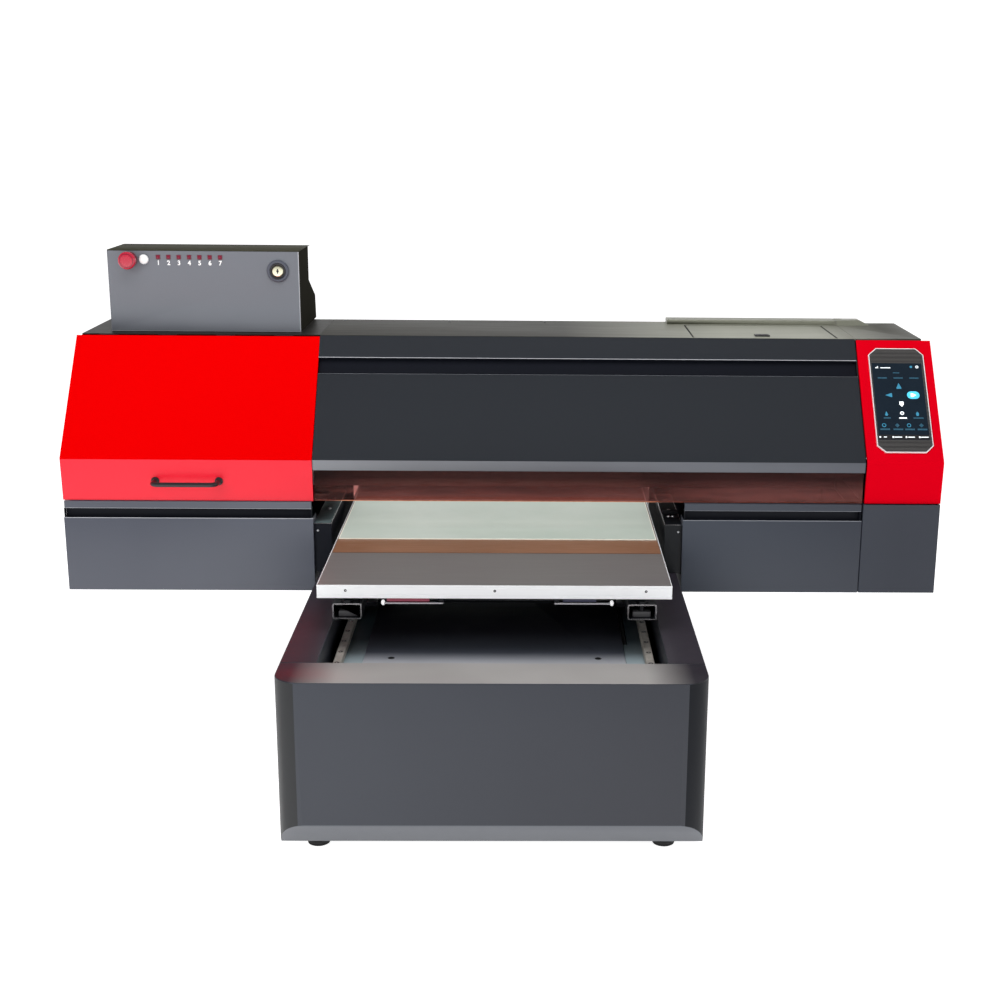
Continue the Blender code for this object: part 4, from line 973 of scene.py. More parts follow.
def leg_top(a, b):
    return near(a.z, 0.4490) and near(b.z, 0.4490)


for s, side, coat in ((-1, "left", GREENCOAT), (1, "right", BLACKCOAT)):
    n = "gantry_leg_" + side
    bm = bmesh.new()
    bm.from_mesh(NODES[n].data)
    bmesh.ops.remove_doubles(bm, verts=bm.verts, dist=3e-6)
    bmesh.ops.dissolve_limit(bm, angle_limit=math.radians(0.7), verts=bm.verts, edges=bm.edges)
    es = [e for e in bm.edges if leg_top(bench(e.verts[0].co), bench(e.verts[1].co))]
    bmesh.ops.bevel(bm, geom=es, offset=0.0011, segments=2, profile=0.5, affect="EDGES", material=1,
                    clamp_overlap=True)
    for f in bm.faces:
        if f.material_index == 0:
            f.material_index = 0 if f.normal.z > 0.5 else 2
    piece(n + "_body", bm, [coat, SILVER, GROOVE if s < 0 else LEGFRONT], "frame", (n,), 0.0006)
bm = bmesh.new()
screw(bm, (-0.3800, 0.6602, 0.4330), (0, -1, 0), 0.0026, 0.0018)
screw(bm, (0.3800, 0.6602, 0.4330), (0, -1, 0), 0.0024, 0.0018)
for x in (-0.3697, 0.3697):
    for y in (0.780, 0.870):
        screw(bm, (x, y, 0.4490), (0, 0, 1), 0.0040, 0.0030)
piece("leg_screws", bm, STEELX, "frame")
# row of small set screws along the inner edge of the left leg
bm = bmesh.new()
for k in range(4):
    screw(bm, (-0.3535, 0.690 + 0.022 * k, 0.4490), (0, 0, 1), 0.0014, 0.0010, socket=False)
piece("leg_set_screws", bm, ZINC, "frame")
# bracket on the right leg with two bright bolts, and the sensor behind it
bm = bmesh.new()
merge(bm, b_box(0.3530, 0.3860, 0.7420, 0.7460, 0.4494, 0.4590, 0.0005, 1), 0)
merge(bm, b_box(0.3530, 0.3860, 0.7110, 0.7440, 0.4492, 0.4512, 0.0005, 1), 0)
for x in (0.3640, 0.3735):
    screw(bm, (x, 0.7180, 0.4512), (0, 0, 1), 0.0034, 0.0030, 1)
piece("leg_bracket", bm, [BLACKCOAT, ZINC], "frame")

refine("gantry_beam", [ALU, STEELX], width=0.0006, rule=lambda c, n: 1 if c.y < 0.9425 else 0)
bm = bmesh.new()
for k in range(26):
    screw(bm, (-0.810 + 0.060 * k, 0.9287, 0.5525), (0, -1, 0), 0.0030, 0.0004)
piece("beam_rail_bolts", bm, ZINC, "frame")

# ---------------------------------------------------------------- carriage
PARK_X = -0.640
refine("carriage_body", [BLACK, SATIN], width=0.0012, rule=lambda c, n: 1 if c.y > 0.897 else 0)
bm = bmesh.new()
for k in range(9):
    x = PARK_X - 0.072 + 0.018 * k
    merge(bm, b_box(x - 0.003, x + 0.003, 0.7686, 0.7704, 0.560, 0.660, 0.0008, 2))
merge(bm, b_box(PARK_X - 0.085, PARK_X + 0.085, 0.7684, 0.7704, 0.490, 0.540, 0.0012, 2))
for x in (PARK_X - 0.09, PARK_X + 0.09):
    for z in (0.480, 0.675):
        screw(bm, (x, 0.7702, z), (0, -1, 0), 0.0035, 0.0016)
piece("carriage_ribs", bm, SATIN, "carriage")
bm = bmesh.new()
for k in range(3):
    x = PARK_X - 0.050 + 0.050 * k
    merge(bm, b_box(x - 0.017, x + 0.017, 0.800, 0.865, 0.4600, 0.4640, 0.0005, 1))
piece("print_head_faces", bm, STEELX, "carriage")
for s, side in ((-1, "left"), (1, "right")):
    refine("uv_lamp_" + side, [ALUY], width=0.0006)
    bm = bmesh.new()
    x0, x1 = sorted((PARK_X + s * 0.1346, PARK_X + s * 0.1356))
    for k in range(8):
        z = 0.500 + 0.010 * k
        merge(bm, b_box(x0, x1, 0.790, 0.880, z, z + 0.004, 0.0002, 1))
    piece("lamp_fins_" + side, bm, ALUY, "carriage")
refine("cap_tray", [BLACK], width=0.0005)
bm = bmesh.new()
for x in (-0.036, 0.036):
    merge(bm, b_box(PARK_X + x - 0.0235, PARK_X + x + 0.0235, 0.7945, 0.8795, 0.4481, 0.4520, 0.0020, 3))
piece("cap_pads", bm, plastic("foam_grey", (0.10, 0.10, 0.10), 0.9, 0.2, 0.2, 900.0, 0.8), "cap")


# ---------------------------------------------------------------- wings
WING_Z0, WING_Z1, GROOVE_Z, WAIST_Z = 0.3027, 0.4610, 0.4810, 0.4965


def tray_top(a, b):
    return (near(a.z, WING_Z1) and near(b.z, WING_Z1)) or (near(a.z, WAIST_Z) and near(b.z, WAIST_Z))


def tray_low(a, b):
    return near(a.z, WING_Z0) and near(b.z, WING_Z0)


def vertical_edge(a, b):
    return abs(a.x - b.x) < 1e-4 and abs(a.y - b.y) < 1e-4 and abs(a.z - b.z) > 0.08


def tray_lip(a, b):
    return near(a.z, WING_Z1) and near(b.z, WING_Z1) and near(a.y, FACE_Y) and near(b.y, FACE_Y)


def strip_lip(a, b):
    return near(a.z, GROOVE_Z) and near(b.z, GROOVE_Z) and near(a.y, FACE_Y) and near(b.y, FACE_Y)


for n in ("left_wing_tray", "right_wing_tray", "right_end_tray"):
    left = n[0] == "l"
    refine(n, [GREYL_PAINTED_LIGHT if left else GREYR_PAINTED_SHADE, EDGE_HIGHLIGHT if left else EDGE_HIGHLIGHT_DIM], width=0.0005,
           folds=[(vertical_edge, 0.0009, 2), (tray_low, 0.0009, 2)],
           highlit_edges=[(tray_lip, 0.0011, 2)] if n != "right_end_tray" else None)
# the recessed groove under each waist strip gets the near-black painted shade
for n in ("left_waist_band", "right_waist_band"):
    left = n[0] == "l"
    refine(n, [GREYL_PAINTED_LIGHT if left else GREYR_PAINTED_SHADE, GROOVE, EDGE_HIGHLIGHT if left else EDGE_HIGHLIGHT_DIM], width=0.0005,
           rule=lambda c, nn: 1 if c.y > 0.6520 and c.z < 0.4809 else 0, highlit_edges=[(strip_lip, 0.0010, 2)])
# end stops that close the two grooves, in the grooves' near-black painted shade
bm = bmesh.new()
for a, b in ((-0.9068, -0.9052), (-0.3932, -0.3916), (0.3916, 0.3932), (0.7620, 0.7636)):
    merge(bm, b_box(a, b, FACE_Y + 0.0012, FACE_Y + 0.0115, WING_Z1 + 0.0003, GROOVE_Z - 0.0004, 0.0003, 1))
piece("groove_ends", bm, GROOVE, "frame")
bm = bmesh.new()
for x0, x1 in ((-0.88, -0.42), (0.42, 0.74)):
    for k in range(3):
        x = x0 + (x1 - x0) * k / 2
        screw(bm, (x, 1.0982, 0.330), (0, 1, 0), 0.0040, 0.0016)
        screw(bm, (x, 1.0982, 0.440), (0, 1, 0), 0.0040, 0.0016)
for y in (0.70, 0.88, 1.06):
    for z in (0.330, 0.430):
        screw(bm, (WING_L + 0.0020, y, z), (-1, 0, 0), 0.0040, 0.0016)
        screw(bm, (0.9305 - 0.0018, y, z), (1, 0, 0), 0.0040, 0.0014)
piece("wing_screws", bm, BLACKSCREW, "frame")

# ---------------------------------------------------------------- housings
refine("left_housing", [TOPDARK_PAINTED_SHADE], width=0.0005)
refine("right_housing", [TOP_PAINTED_LIGHT, TOPLIGHT], width=0.0005,
       rule=lambda c, n: 1 if c.z > 0.8203 else 0)
refine("rear_cover", [GREY], width=0.0006)


def nose_fold(a, b):
    return near(a.y, NOSE[0], 0.0035) and near(a.z, NOSE[1], 0.0035) and near(b.y, NOSE[0], 0.0035) and \
        near(b.z, NOSE[1], 0.0035) and abs(a.x - b.x) > 0.1


def crest_fold(a, b):
    return near(a.y, CREST[0], 0.002) and near(a.z, CREST[1], 0.002) and near(b.y, CREST[0], 0.002) and \
        near(b.z, CREST[1], 0.002) and abs(a.x - b.x) > 0.1


refine("left_flap", [REDL, REDBAND_PAINTED_SHEEN], folds=[(nose_fold, 0.0022, 4)], width=0.0005,
       rule=lambda c, n: 1 if c.z < NOSE[1] - 0.003 else 0)
refine("right_fascia", [REDR], folds=[(nose_fold, 0.0022, 4)], width=0.0005)


def head_low_fold(a, b):
    return near(a.y, HEAD_LOW[0], 0.001) and near(b.y, HEAD_LOW[0], 0.001) and near(a.z, HEAD_LOW[1], 0.001) and \
        abs(a.x - b.x) > 0.1


def top_rule(c, n):
    if c.z > 0.8203:
        return 2
    # the recess under the head strip: near-black painted shade
    if c.z < HEAD_LOW[1] - 0.0015 and c.y < 0.86:
        return 3
    if c.y < 0.8407 and c.z < 0.8200:
        return 1
    return 0


refine("top_cover", [TOP_PAINTED_LIGHT, SLOPE_PAINTED_SHADE, TOPLIGHT, GROOVE, EDGE_HIGHLIGHT], rule=top_rule, width=0.0004,
       folds=[(crest_fold, 0.0016, 3)], highlit_edges=[(head_low_fold, 0.0010, 2)])
refine("hatch_lid", [TOP_PAINTED_LIGHT], width=0.0006)
refine("hatch_latch", [BLACK], width=0.0004)
bm = bmesh.new()
for k in range(5):
    y = 0.8665 + 0.0032 * k
    merge(bm, b_box(0.5590, 0.5850, y, y + 0.0014, 0.8226, 0.8231, 0.0002, 1))
piece("latch_grip", bm, SATIN, "latch")
# hatch hinge: knuckles along its rear edge
bm = bmesh.new()
for k in range(3):
    x = 0.450 + 0.110 * k
    merge(bm, b_tube([V(x, 1.0385, 0.8150), V(x + 0.030, 1.0385, 0.8150)], 0.0018, 12))
piece("hatch_hinges", bm, BLACKSCREW, "frame")
# rubber lip round the hatch opening
bm = bmesh.new()
merge(bm, b_box(0.4168, 0.4198, 0.8440, 1.0410, 0.8195, 0.8200, 0.0002, 1))
merge(bm, b_box(0.7302, 0.7332, 0.8440, 1.0410, 0.8195, 0.8200, 0.0002, 1))
merge(bm, b_box(0.4198, 0.7302, 1.0402, 1.0424, 0.8195, 0.8200, 0.0002, 1))
piece("hatch_lip", bm, RUBBER, "frame")
# screws along the raised rear strip
bm = bmesh.new()
for x in (0.3980, 0.4450, 0.6170, 0.7890):
    screw(bm, (x, 1.0740, 0.8299), (0, 0, 1), 0.0036, 0.0006)
for x in (-0.36, -0.12, 0.10):
    screw(bm, (x, 1.0800, 0.8196), (0, 0, 1), 0.0036, 0.0012)
piece("strip_screws", bm, STEELX, "frame")
bm = bmesh.new()
for x in (-0.36, -0.10, 0.16, 0.42, 0.68, 0.88):
    for z in (0.520, 0.755):
        screw(bm, (x, BACK_Y - 0.0004, z), (0, 1, 0), 0.0042, 0.0004 + 0.0001)
for x in (-0.880, -0.640, -0.410):
    for z in (0.490, 0.795):
        screw(bm, (x, BACK_Y - 0.0004, z), (0, 1, 0), 0.0042, 0.0005)
piece("rear_screws", bm, ZINC, "frame")
# pressed louvres of the rear cover
bm = bmesh.new()
for x in (-0.20, 0.30):
    for k in range(8):
        z = 0.560 + 0.018 * k
        prof = [(BACK_Y - 0.0012, z + 0.0080), (BACK_Y - 0.0012, z - 0.0005), (BACK_Y + 0.0034, z),
                (BACK_Y + 0.0028, z + 0.0014)]
        merge(bm, b_prism(prof, x, x + 0.16, "x"))
piece("cover_louvres", bm, GREY, "frame", width=0.0003)
bm = bmesh.new()
for y in (0.90, 1.06):
    for z in (0.500, 0.700):
        screw(bm, (-0.8978, y, z), (-1, 0, 0), 0.0040, 0.0016)
        screw(bm, (0.9138, y, z + 0.03), (1, 0, 0), 0.0040, 0.0016)
piece("side_screws", bm, BLACKSCREW, "frame")

# turned-down back edge of the right housing's top sheet
bm = b_box(0.7716, 0.9136, BACK_Y - 0.0017, BACK_Y - 0.0002, 0.7798, 0.8176, 0.0003, 1)
piece("housing_back_flange", bm, GREY, "frame")

# dark gaskets in the seams round the two fascias
bm = bmesh.new()
merge(bm, b_box(0.7716, 0.9120, 0.8386, 0.8437, 0.8100, 0.8178, 0.0003, 1))
merge(bm, b_box(-0.8960, -0.3890, 0.8405, 0.8437, 0.8090, 0.8130, 0.0003, 1))
piece("seam_gaskets", bm, RUBBER, "frame")
bm = bmesh.new()
merge(bm, b_box(0.7677, 0.7708, 0.8455, BACK_Y - 0.002, 0.8150, 0.8194, 0.0003, 1))
merge(bm, b_box(0.7657, 0.7711, 1.0565, BACK_Y - 0.001, 0.8192, 0.8299, 0.0003, 1))
piece("top_joint_strip", bm, TOP_PAINTED_LIGHT, "frame")
bm = bmesh.new()
low = (NOSE[0] + 0.012, NOSE[1] + 0.006)
merge(bm, b_prism([(low[0], low[1]), (0.8438, 0.8160), (0.8500, 0.8090), (low[0] + 0.008, low[1] - 0.006)], 0.7686,
                  0.7701, "x"))
piece("fascia_gasket", bm, RUBBER, "frame")

# flap handle: round bar on two cast feet
HX0, HX1, HZ, HY = -0.7135, -0.5815, 0.5400, 0.6180
pts = [V(HX0, 0.6522, HZ), V(HX0, 0.640, HZ)]
for k in range(7):
    a = math.radians(180 + 90 * k / 6)
    pts.append(V(HX0 + 0.012 + 0.012 * math.cos(a), HY + 0.012 + 0.012 * math.sin(a), HZ))
for k in range(7):
    a = math.radians(270 + 90 * k / 6)
    pts.append(V(HX1 - 0.012 + 0.012 * math.cos(a), HY + 0.012 + 0.012 * math.sin(a), HZ))
pts += [V(HX1, 0.640, HZ), V(HX1, 0.6522, HZ)]
bm = b_tube(pts, 0.0048, 18)
for x in (HX0, HX1):
    merge(bm, b_turn([(0, -0.0006), (0.0085, -0.0006), (0.0085, 0.0016), (0.0068, 0.0036), (0.0050, 0.0040),
                      (0, 0.0040)], (x, 0.6528, HZ), (0, -1, 0), 24))
piece("flap_handle_bar", bm, BLACK, "flap", ("flap_handle",))
# hinge of the flap, seen from above as a thin line of knuckles
bm = bmesh.new()
for k in range(4):
    x = -0.860 + 0.125 * k
    merge(bm, b_tube([V(x, 0.8405, 0.8186), V(x + 0.040, 0.8405, 0.8186)], 0.0012, 10))
piece("flap_knuckles", bm, BLACKSCREW, "flap")

# ---------------------------------------------------------------- front lid
LIP_Z, SHIELD_Z = 0.5640, 0.4975
LID_X0, LID_X1 = LEFT_IN + 0.0012, SEAM_X + 0.0005


def lid_nose_fold(a, b):
    if abs(a.x - b.x) < 0.1:
        return False
    for y, z in ((NOSE[0] + 0.001, NOSE[1] - 0.0006), (NOSE[0] + 0.0020, LIP_Z)):
        if near(a.y, y, 0.0008) and near(a.z, z, 0.0008) and near(b.y, y, 0.0008) and near(b.z, z, 0.0008):
            return True
    return False


def lid_rule(c, n):
    return 1 if c.z < NOSE[1] - 0.002 else 0


def lid_top_fold(a, b):
    return near(a.y, LID_TOP[0], 0.0012) and near(a.z, LID_TOP[1], 0.0012) and near(b.y, LID_TOP[0], 0.0012) and \
        near(b.z, LID_TOP[1], 0.0012) and abs(a.x - b.x) > 0.1


refine("front_lid", [SLOPE_PAINTED_SHADE, LIP_PAINTED_LIGHT, EDGE_HIGHLIGHT_DIM], folds=[(lid_nose_fold, 0.0011, 4)], rule=lid_rule,
       width=0.0004, highlit_edges=[(lid_top_fold, 0.0009, 2)])
bm = b_box(LID_X0 + 0.001, LID_X1 - 0.001, NOSE[0] + 0.0090, NOSE[0] + 0.0120, SHIELD_Z + 0.0012, LIP_Z - 0.0003,
           0.0003, 1)
piece("lid_shield_pane", bm, ACRYLIC, "lid", ("lid_shield",))
bm = b_box(LID_X0 + 0.001, LID_X1 - 0.001, NOSE[0] + 0.0089, NOSE[0] + 0.0121, SHIELD_Z, SHIELD_Z + 0.0012, 0.0004, 1)
piece("lid_shield_edge", bm, ACREDGE_PAINTED_GLOW, "lid")

# ---------------------------------------------------------------- screen
slope = Vector((CREST[0] - NOSE[0], CREST[1] - NOSE[1])).normalized()
out_n = Vector((-slope.y, slope.x))


def on_slope(x, s, h):
    return V(x, NOSE[0] + slope.x * s + out_n.x * h, NOSE[1] + slope.y * s + out_n.y * h)


def slab(bm, pts, h0, h1, inset=0.0, index=0):
    """A flat raised shape on the sloping face; pts are (x, s)."""
    t = bmesh.new()
    cx = sum(p[0] for p in pts) / len(pts)
    cs = sum(p[1] for p in pts) / len(pts)
    low = [t.verts.new(on_slope(x, s, h0)) for x, s in pts]
    top = []
    for x, s in pts:
        d = Vector((x - cx, s - cs))
        k = max(0.0, 1 - inset / d.length) if d.length else 1
        top.append(t.verts.new(on_slope(cx + d.x * k, cs + d.y * k, h1)))
    t.faces.new(low)
    t.faces.new(top)
    for k in range(len(pts)):
        j = (k + 1) % len(pts)
        t.faces.new((low[k], low[j], top[j], top[k]))
    bmesh.ops.recalc_face_normals(t, faces=t.faces)
    return merge(bm, t, index)


SX = (0.7936, 0.8110, 0.8965, 0.9126)
S0, S1, CH = 0.0220, 0.2740, 0.0160


def octagon(e):
    """Outline of the screen's frame, e metres inside its edge."""
    k = e * 0.42
    return [(SX[0] + e, S0 + CH + k), (SX[1] + k, S0 + e), (SX[2] - k, S0 + e), (SX[3] - e, S0 + CH + k),
            (SX[3] - e, S1 - CH - k), (SX[2] - k, S1 - e), (SX[1] + k, S1 - e), (SX[0] + e, S1 - CH - k)]


def slope_ring(bm, outer, inner, h0, h1, index=0):
    t = bmesh.new()
    rows = []
    for pts, h in ((outer, h0), (outer, h1 - 0.0004), ([(0.9 * a[0] + 0.1 * b[0], 0.9 * a[1] + 0.1 * b[1])
                                                        for a, b in zip(outer, inner)], h1), (inner, h1),
                   (inner, h0)):
        rows.append([t.verts.new(on_slope(x, s, h)) for x, s in pts])
    n = len(outer)
    for i in range(len(rows)):
        a, b = rows[i], rows[(i + 1) % len(rows)]
        for k in range(n):
            t.faces.new((a[k], a[(k + 1) % n], b[(k + 1) % n], b[k]))
    bmesh.ops.recalc_face_normals(t, faces=t.faces)
    return merge(bm, t, index)


bm = bmesh.new()
slope_ring(bm, octagon(0.0), octagon(0.0018), 0.0002, 0.0040)
piece("screen_rim", bm, BRIGHT, "frame", ("touch_screen",))
bm = bmesh.new()
slab(bm, octagon(0.0018), 0.0003, 0.0036)
piece("screen_bezel", bm, WEAVE, "frame")
DX0, DX1, DS0, DS1 = 0.7985, 0.9060, 0.0515, 0.2370
bm = bmesh.new()
slab(bm, [(DX0, DS0), (DX1, DS0), (DX1, DS1), (DX0, DS1)], 0.0033, 0.0038, 0.0002)
piece("screen_display", bm, SCREEN, "frame")


def ds(a, b):
    """Display share (from the left, from the top) to (x, s)."""
    return (DX0 + (DX1 - DX0) * a, DS1 - (DS1 - DS0) * b)


UX, UY = (DX1 - DX0), (DS1 - DS0)
icons = {"white": bmesh.new(), "cyan": bmesh.new(), "bright": bmesh.new(), "dim": bmesh.new(), "dark": bmesh.new()}


def shape(kind, pts, lift=0.0):
    slab(icons[kind], [ds(a, b) for a, b in pts], 0.0036, 0.00395 + lift)


def bar(kind, a, b, w, h):
    shape(kind, [(a - w / 2, b - h / 2), (a + w / 2, b - h / 2), (a + w / 2, b + h / 2), (a - w / 2, b + h / 2)])


def disc(kind, a, b, r, n=16, lift=0.0):
    shape(kind, [(a + r * math.cos(2 * math.pi * k / n), b + r * UX / UY * math.sin(2 * math.pi * k / n))
                 for k in range(n)], lift)


def hoop(kind, a, b, r, r2, n=18):
    o = [ds(a + r * math.cos(2 * math.pi * k / n), b + r * UX / UY * math.sin(2 * math.pi * k / n)) for k in range(n)]
    i = [ds(a + r2 * math.cos(2 * math.pi * k / n), b + r2 * UX / UY * math.sin(2 * math.pi * k / n))
         for k in range(n)]
    slope_ring(icons[kind], o, i, 0.0036, 0.00395 + 0.0003)


def capsule(kind, a, b, w, h, lift=0.0):
    r = h / 2 * UY / UX
    pts = []
    for c, t0 in ((a + w / 2 - r, -90), (a - w / 2 + r, 90)):
        for k in range(9):
            t = math.radians(t0 + 180 * k / 8)
            pts.append((c + r * math.cos(t), b + h / 2 * math.sin(t)))
    shape(kind, pts, lift)


# status row, tabs, the four direction keys, and rows of small tool icons
for k in range(3):
    bar("white", 0.075 + 0.022 * k, 0.062 - 0.004 * k, 0.012, 0.012 + 0.008 * k)
bar("white", 0.27, 0.062, 0.20, 0.010)
disc("cyan", 0.785, 0.048, 0.026)
hoop("white", 0.905, 0.048, 0.030, 0.018)
bar("dim", 0.475, 0.128, 0.13, 0.012)
for a in (0.190, 0.505, 0.820):
    bar("dim", a, 0.196, 0.185, 0.016)
shape("cyan", [(0.500, 0.262), (0.548, 0.325), (0.548, 0.338), (0.452, 0.338), (0.452, 0.325)])
shape("cyan", [(0.215, 0.422), (0.335, 0.395), (0.350, 0.400), (0.350, 0.444), (0.335, 0.449)])
capsule("bright", 0.770, 0.420, 0.250, 0.098)
shape("white", [(0.720, 0.398), (0.760, 0.398), (0.830, 0.420), (0.760, 0.444), (0.720, 0.444)], 0.0003)
shape("white", [(0.478, 0.505), (0.560, 0.505), (0.560, 0.545), (0.519, 0.572), (0.478, 0.545)])
shape("cyan", [(0.200, 0.632), (0.232, 0.675), (0.216, 0.690), (0.184, 0.690), (0.168, 0.675)])
hoop("white", 0.510, 0.656, 0.040, 0.020)
shape("cyan", [(0.812, 0.635), (0.845, 0.662), (0.832, 0.690), (0.792, 0.690), (0.780, 0.662)])
for a, w in ((0.205, 0.14), (0.520, 0.15), (0.825, 0.20)):
    bar("white" if a == 0.520 else "dim", a, 0.718, w, 0.016)
for k, a in enumerate((0.130, 0.390, 0.620, 0.865)):
    if k % 2:
        shape("dim", [(a, 0.785), (a + 0.045, 0.812), (a, 0.839), (a - 0.045, 0.812)])
    else:
        hoop("cyan", a, 0.812, 0.042, 0.028)
    bar("dim", a + 0.012, 0.864, 0.19, 0.020)
bar("dark", 0.5, 0.965, 0.995, 0.062)
for a, w in ((0.075, 0.06), (0.330, 0.15), (0.590, 0.13), (0.850, 0.15)):
    slab(icons["white"], [ds(a + 0.055 - w / 2, 0.959), ds(a + 0.055 + w / 2, 0.959), ds(a + 0.055 + w / 2, 0.969),
                          ds(a + 0.055 - w / 2, 0.969)], 0.0036, 0.0042)
    disc("white", a - 0.045, 0.964, 0.018, 12, 0.0003)
for kind, m in (("white", ICONWHITE), ("cyan", CYAN), ("bright", CYANHI), ("dim", CYANLOW), ("dark", BLACK)):
    piece("screen_icons_" + kind, icons[kind], m, "frame")

# ---------------------------------------------------------------- ink box
INK_X0, INK_X1, INK_Y0, INK_TOP = -0.8435, -0.4335, 0.8800, 0.9950
ESTOP, START, LOCK = (-0.7962, 0.9735), (-0.7646, 0.9750), (-0.4788, 0.9516)
LED_X0, LED_STEP, LED_Z = -0.7344, 0.0221, 0.9795
# the ink box's sides: a dark, matt copy of its coat, painted shade
INKSIDE_PAINTED_SHADE = paint("coat_ink_side_painted_shade", (0.022, 0.021, 0.017), 0.7, spec=0.0)


def ink_rule(c, n):
    if n.y < -0.8:
        return 0
    if n.z > 0.5:
        return 1
    return 2 if abs(n.x) > 0.8 else 0


# the ink box's front bottom and right edges, which get the painted highlight
def ink_edge(a, b):
    if not (near(a.y, INK_Y0, 0.003) and near(b.y, INK_Y0, 0.003)):
        return False
    low = near(a.z, b.z, 0.002) and a.z < 0.86 and abs(a.x - b.x) > 0.1
    return low or (near(a.x, INK_X1, 0.003) and near(b.x, INK_X1, 0.003) and abs(a.z - b.z) > 0.05)


refine("ink_box_body", [INKGREY_PAINTED_LIGHT, INKTOP, INKSIDE_PAINTED_SHADE, EDGE_HIGHLIGHT], width=0.0006, rule=ink_rule,
       highlit_edges=[(ink_edge, 0.0016, 2)])
bm = b_box(INK_X0, INK_X1, INK_Y0, 1.0280, INK_TOP - 0.0020, INK_TOP, 0.0009, 2)
piece("ink_lid_sheet", bm, INKTOP, "ink_lid", ("ink_box_lid",))
# hinge knuckles along the back of the ink box lid
bm = bmesh.new()
for k in range(3):
    x = -0.82 + 0.18 * k
    merge(bm, b_tube([V(x, 1.0290, 0.9936), V(x + 0.030, 1.0290, 0.9936)], 0.0009, 10))
piece("ink_lid_knuckles", bm, BLACKSCREW, "frame")

# stop button: glossy mushroom, ribbed collar, threaded neck
bm = bmesh.new()
merge(bm, b_turn([(0, -0.0290), (0.0075, -0.0288), (0.0120, -0.0282), (0.0155, -0.0271), (0.0178, -0.0256),
                  (0.0186, -0.0238), (0.0188, -0.0222), (0.0188, -0.0196), (0.0184, -0.0180), (0.0165, -0.0168),
                  (0.0120, -0.0164), (0, -0.0164)], (ESTOP[0], INK_Y0, ESTOP[1]), (0, 1, 0), 48), 0)
merge(bm, b_turn([(0, -0.0166), (0.0092, -0.0166), (0.0094, -0.0130), (0.0094, -0.0120), (0, -0.0120)],
                 (ESTOP[0], INK_Y0, ESTOP[1]), (0, 1, 0), 32), 1)
merge(bm, b_turn([(0, -0.0125), (0.0085, -0.0125), (0.0085, 0.0120), (0, 0.0120)], (ESTOP[0], INK_Y0, ESTOP[1]),
                 (0, 1, 0), 24), 1)
merge(bm, b_turn([(0.0138, -0.0276), (0.0138, -0.0281), (0.0149, -0.0278), (0.0149, -0.0270)],
                 (ESTOP[0], INK_Y0, ESTOP[1]), (0, 1, 0), 40, closed=True), 1)
piece("stop_mushroom", bm, [REDBTN, COLLAR], "stop", ("stop_button",))
bm = b_turn([(0.0100, -0.0118), (0.0142, -0.0118), (0.0150, -0.0108), (0.0150, -0.0060), (0.0172, -0.0050),
             (0.0172, -0.0004), (0.0100, -0.0004)], (ESTOP[0], INK_Y0, ESTOP[1]), (0, 1, 0), 36, closed=True)
piece("stop_collar", bm, COLLAR, "frame")
# start button in its ring
bm = b_turn([(0, -0.0062), (0.0060, -0.0060), (0.0084, -0.0054), (0.0094, -0.0046), (0.0094, -0.0042),
             (0.0062, -0.0040), (0.0062, 0.0100), (0, 0.0100)], (START[0], INK_Y0, START[1]), (0, 1, 0), 36)
piece("start_cap", bm, WHITE, "start", ("start_button",))
bm = b_turn([(0.0097, -0.0034), (0.0105, -0.0034), (0.0109, -0.0026), (0.0109, -0.0002), (0.0097, -0.0002)],
            (START[0], INK_Y0, START[1]), (0, 1, 0), 36, closed=True)
piece("start_ring", bm, ZINC, "frame")

# level lights: square red lamps, numbered 1 to 7
lamps, lenses = bmesh.new(), bmesh.new()
for k in range(7):
    x = LED_X0 + LED_STEP * k
    merge(lamps, b_box(x - 0.0048, x + 0.0048, INK_Y0 - 0.0012, INK_Y0 - 0.0001, LED_Z - 0.0046, LED_Z + 0.0050,
                       0.0008, 2))
    merge(lenses, b_turn([(0, -0.0032), (0.0016, -0.0030), (0.0028, -0.0022), (0.0032, -0.0010), (0, -0.0010)],
                         (x, INK_Y0, LED_Z), (0, 1, 0), 20))
piece("level_lamps", lamps, COLLAR, "frame", ("level_lights",))
piece("level_lenses", lenses, LEDRED, "frame")
digits = bmesh.new()
for k in range(7):
    cu = bpy.data.curves.new("digit", "FONT")
    cu.body = str(k + 1)
    cu.size = 0.0135
    cu.align_x = "CENTER"
    cu.extrude = 0.00015
    cu.offset = 0.00035
    cu.resolution_u = 4
    tmp = bpy.data.objects.new("digit", cu)
    bpy.context.scene.collection.objects.link(tmp)
    bpy.context.view_layer.update()
    me = bpy.data.meshes.new_from_object(tmp.evaluated_get(bpy.context.evaluated_depsgraph_get()))
    me.transform(Matrix.Translation(V(LED_X0 + LED_STEP * k, INK_Y0 - 0.0003, 0.9630)) @
                 Matrix.Rotation(math.radians(90), 4, "X"))
    digits.from_mesh(me)
    bpy.data.objects.remove(tmp)
    bpy.data.meshes.remove(me)
    bpy.data.curves.remove(cu)
bmesh.ops.remove_doubles(digits, verts=digits.verts, dist=1e-6)
piece("level_numbers", digits, LABEL, "frame")

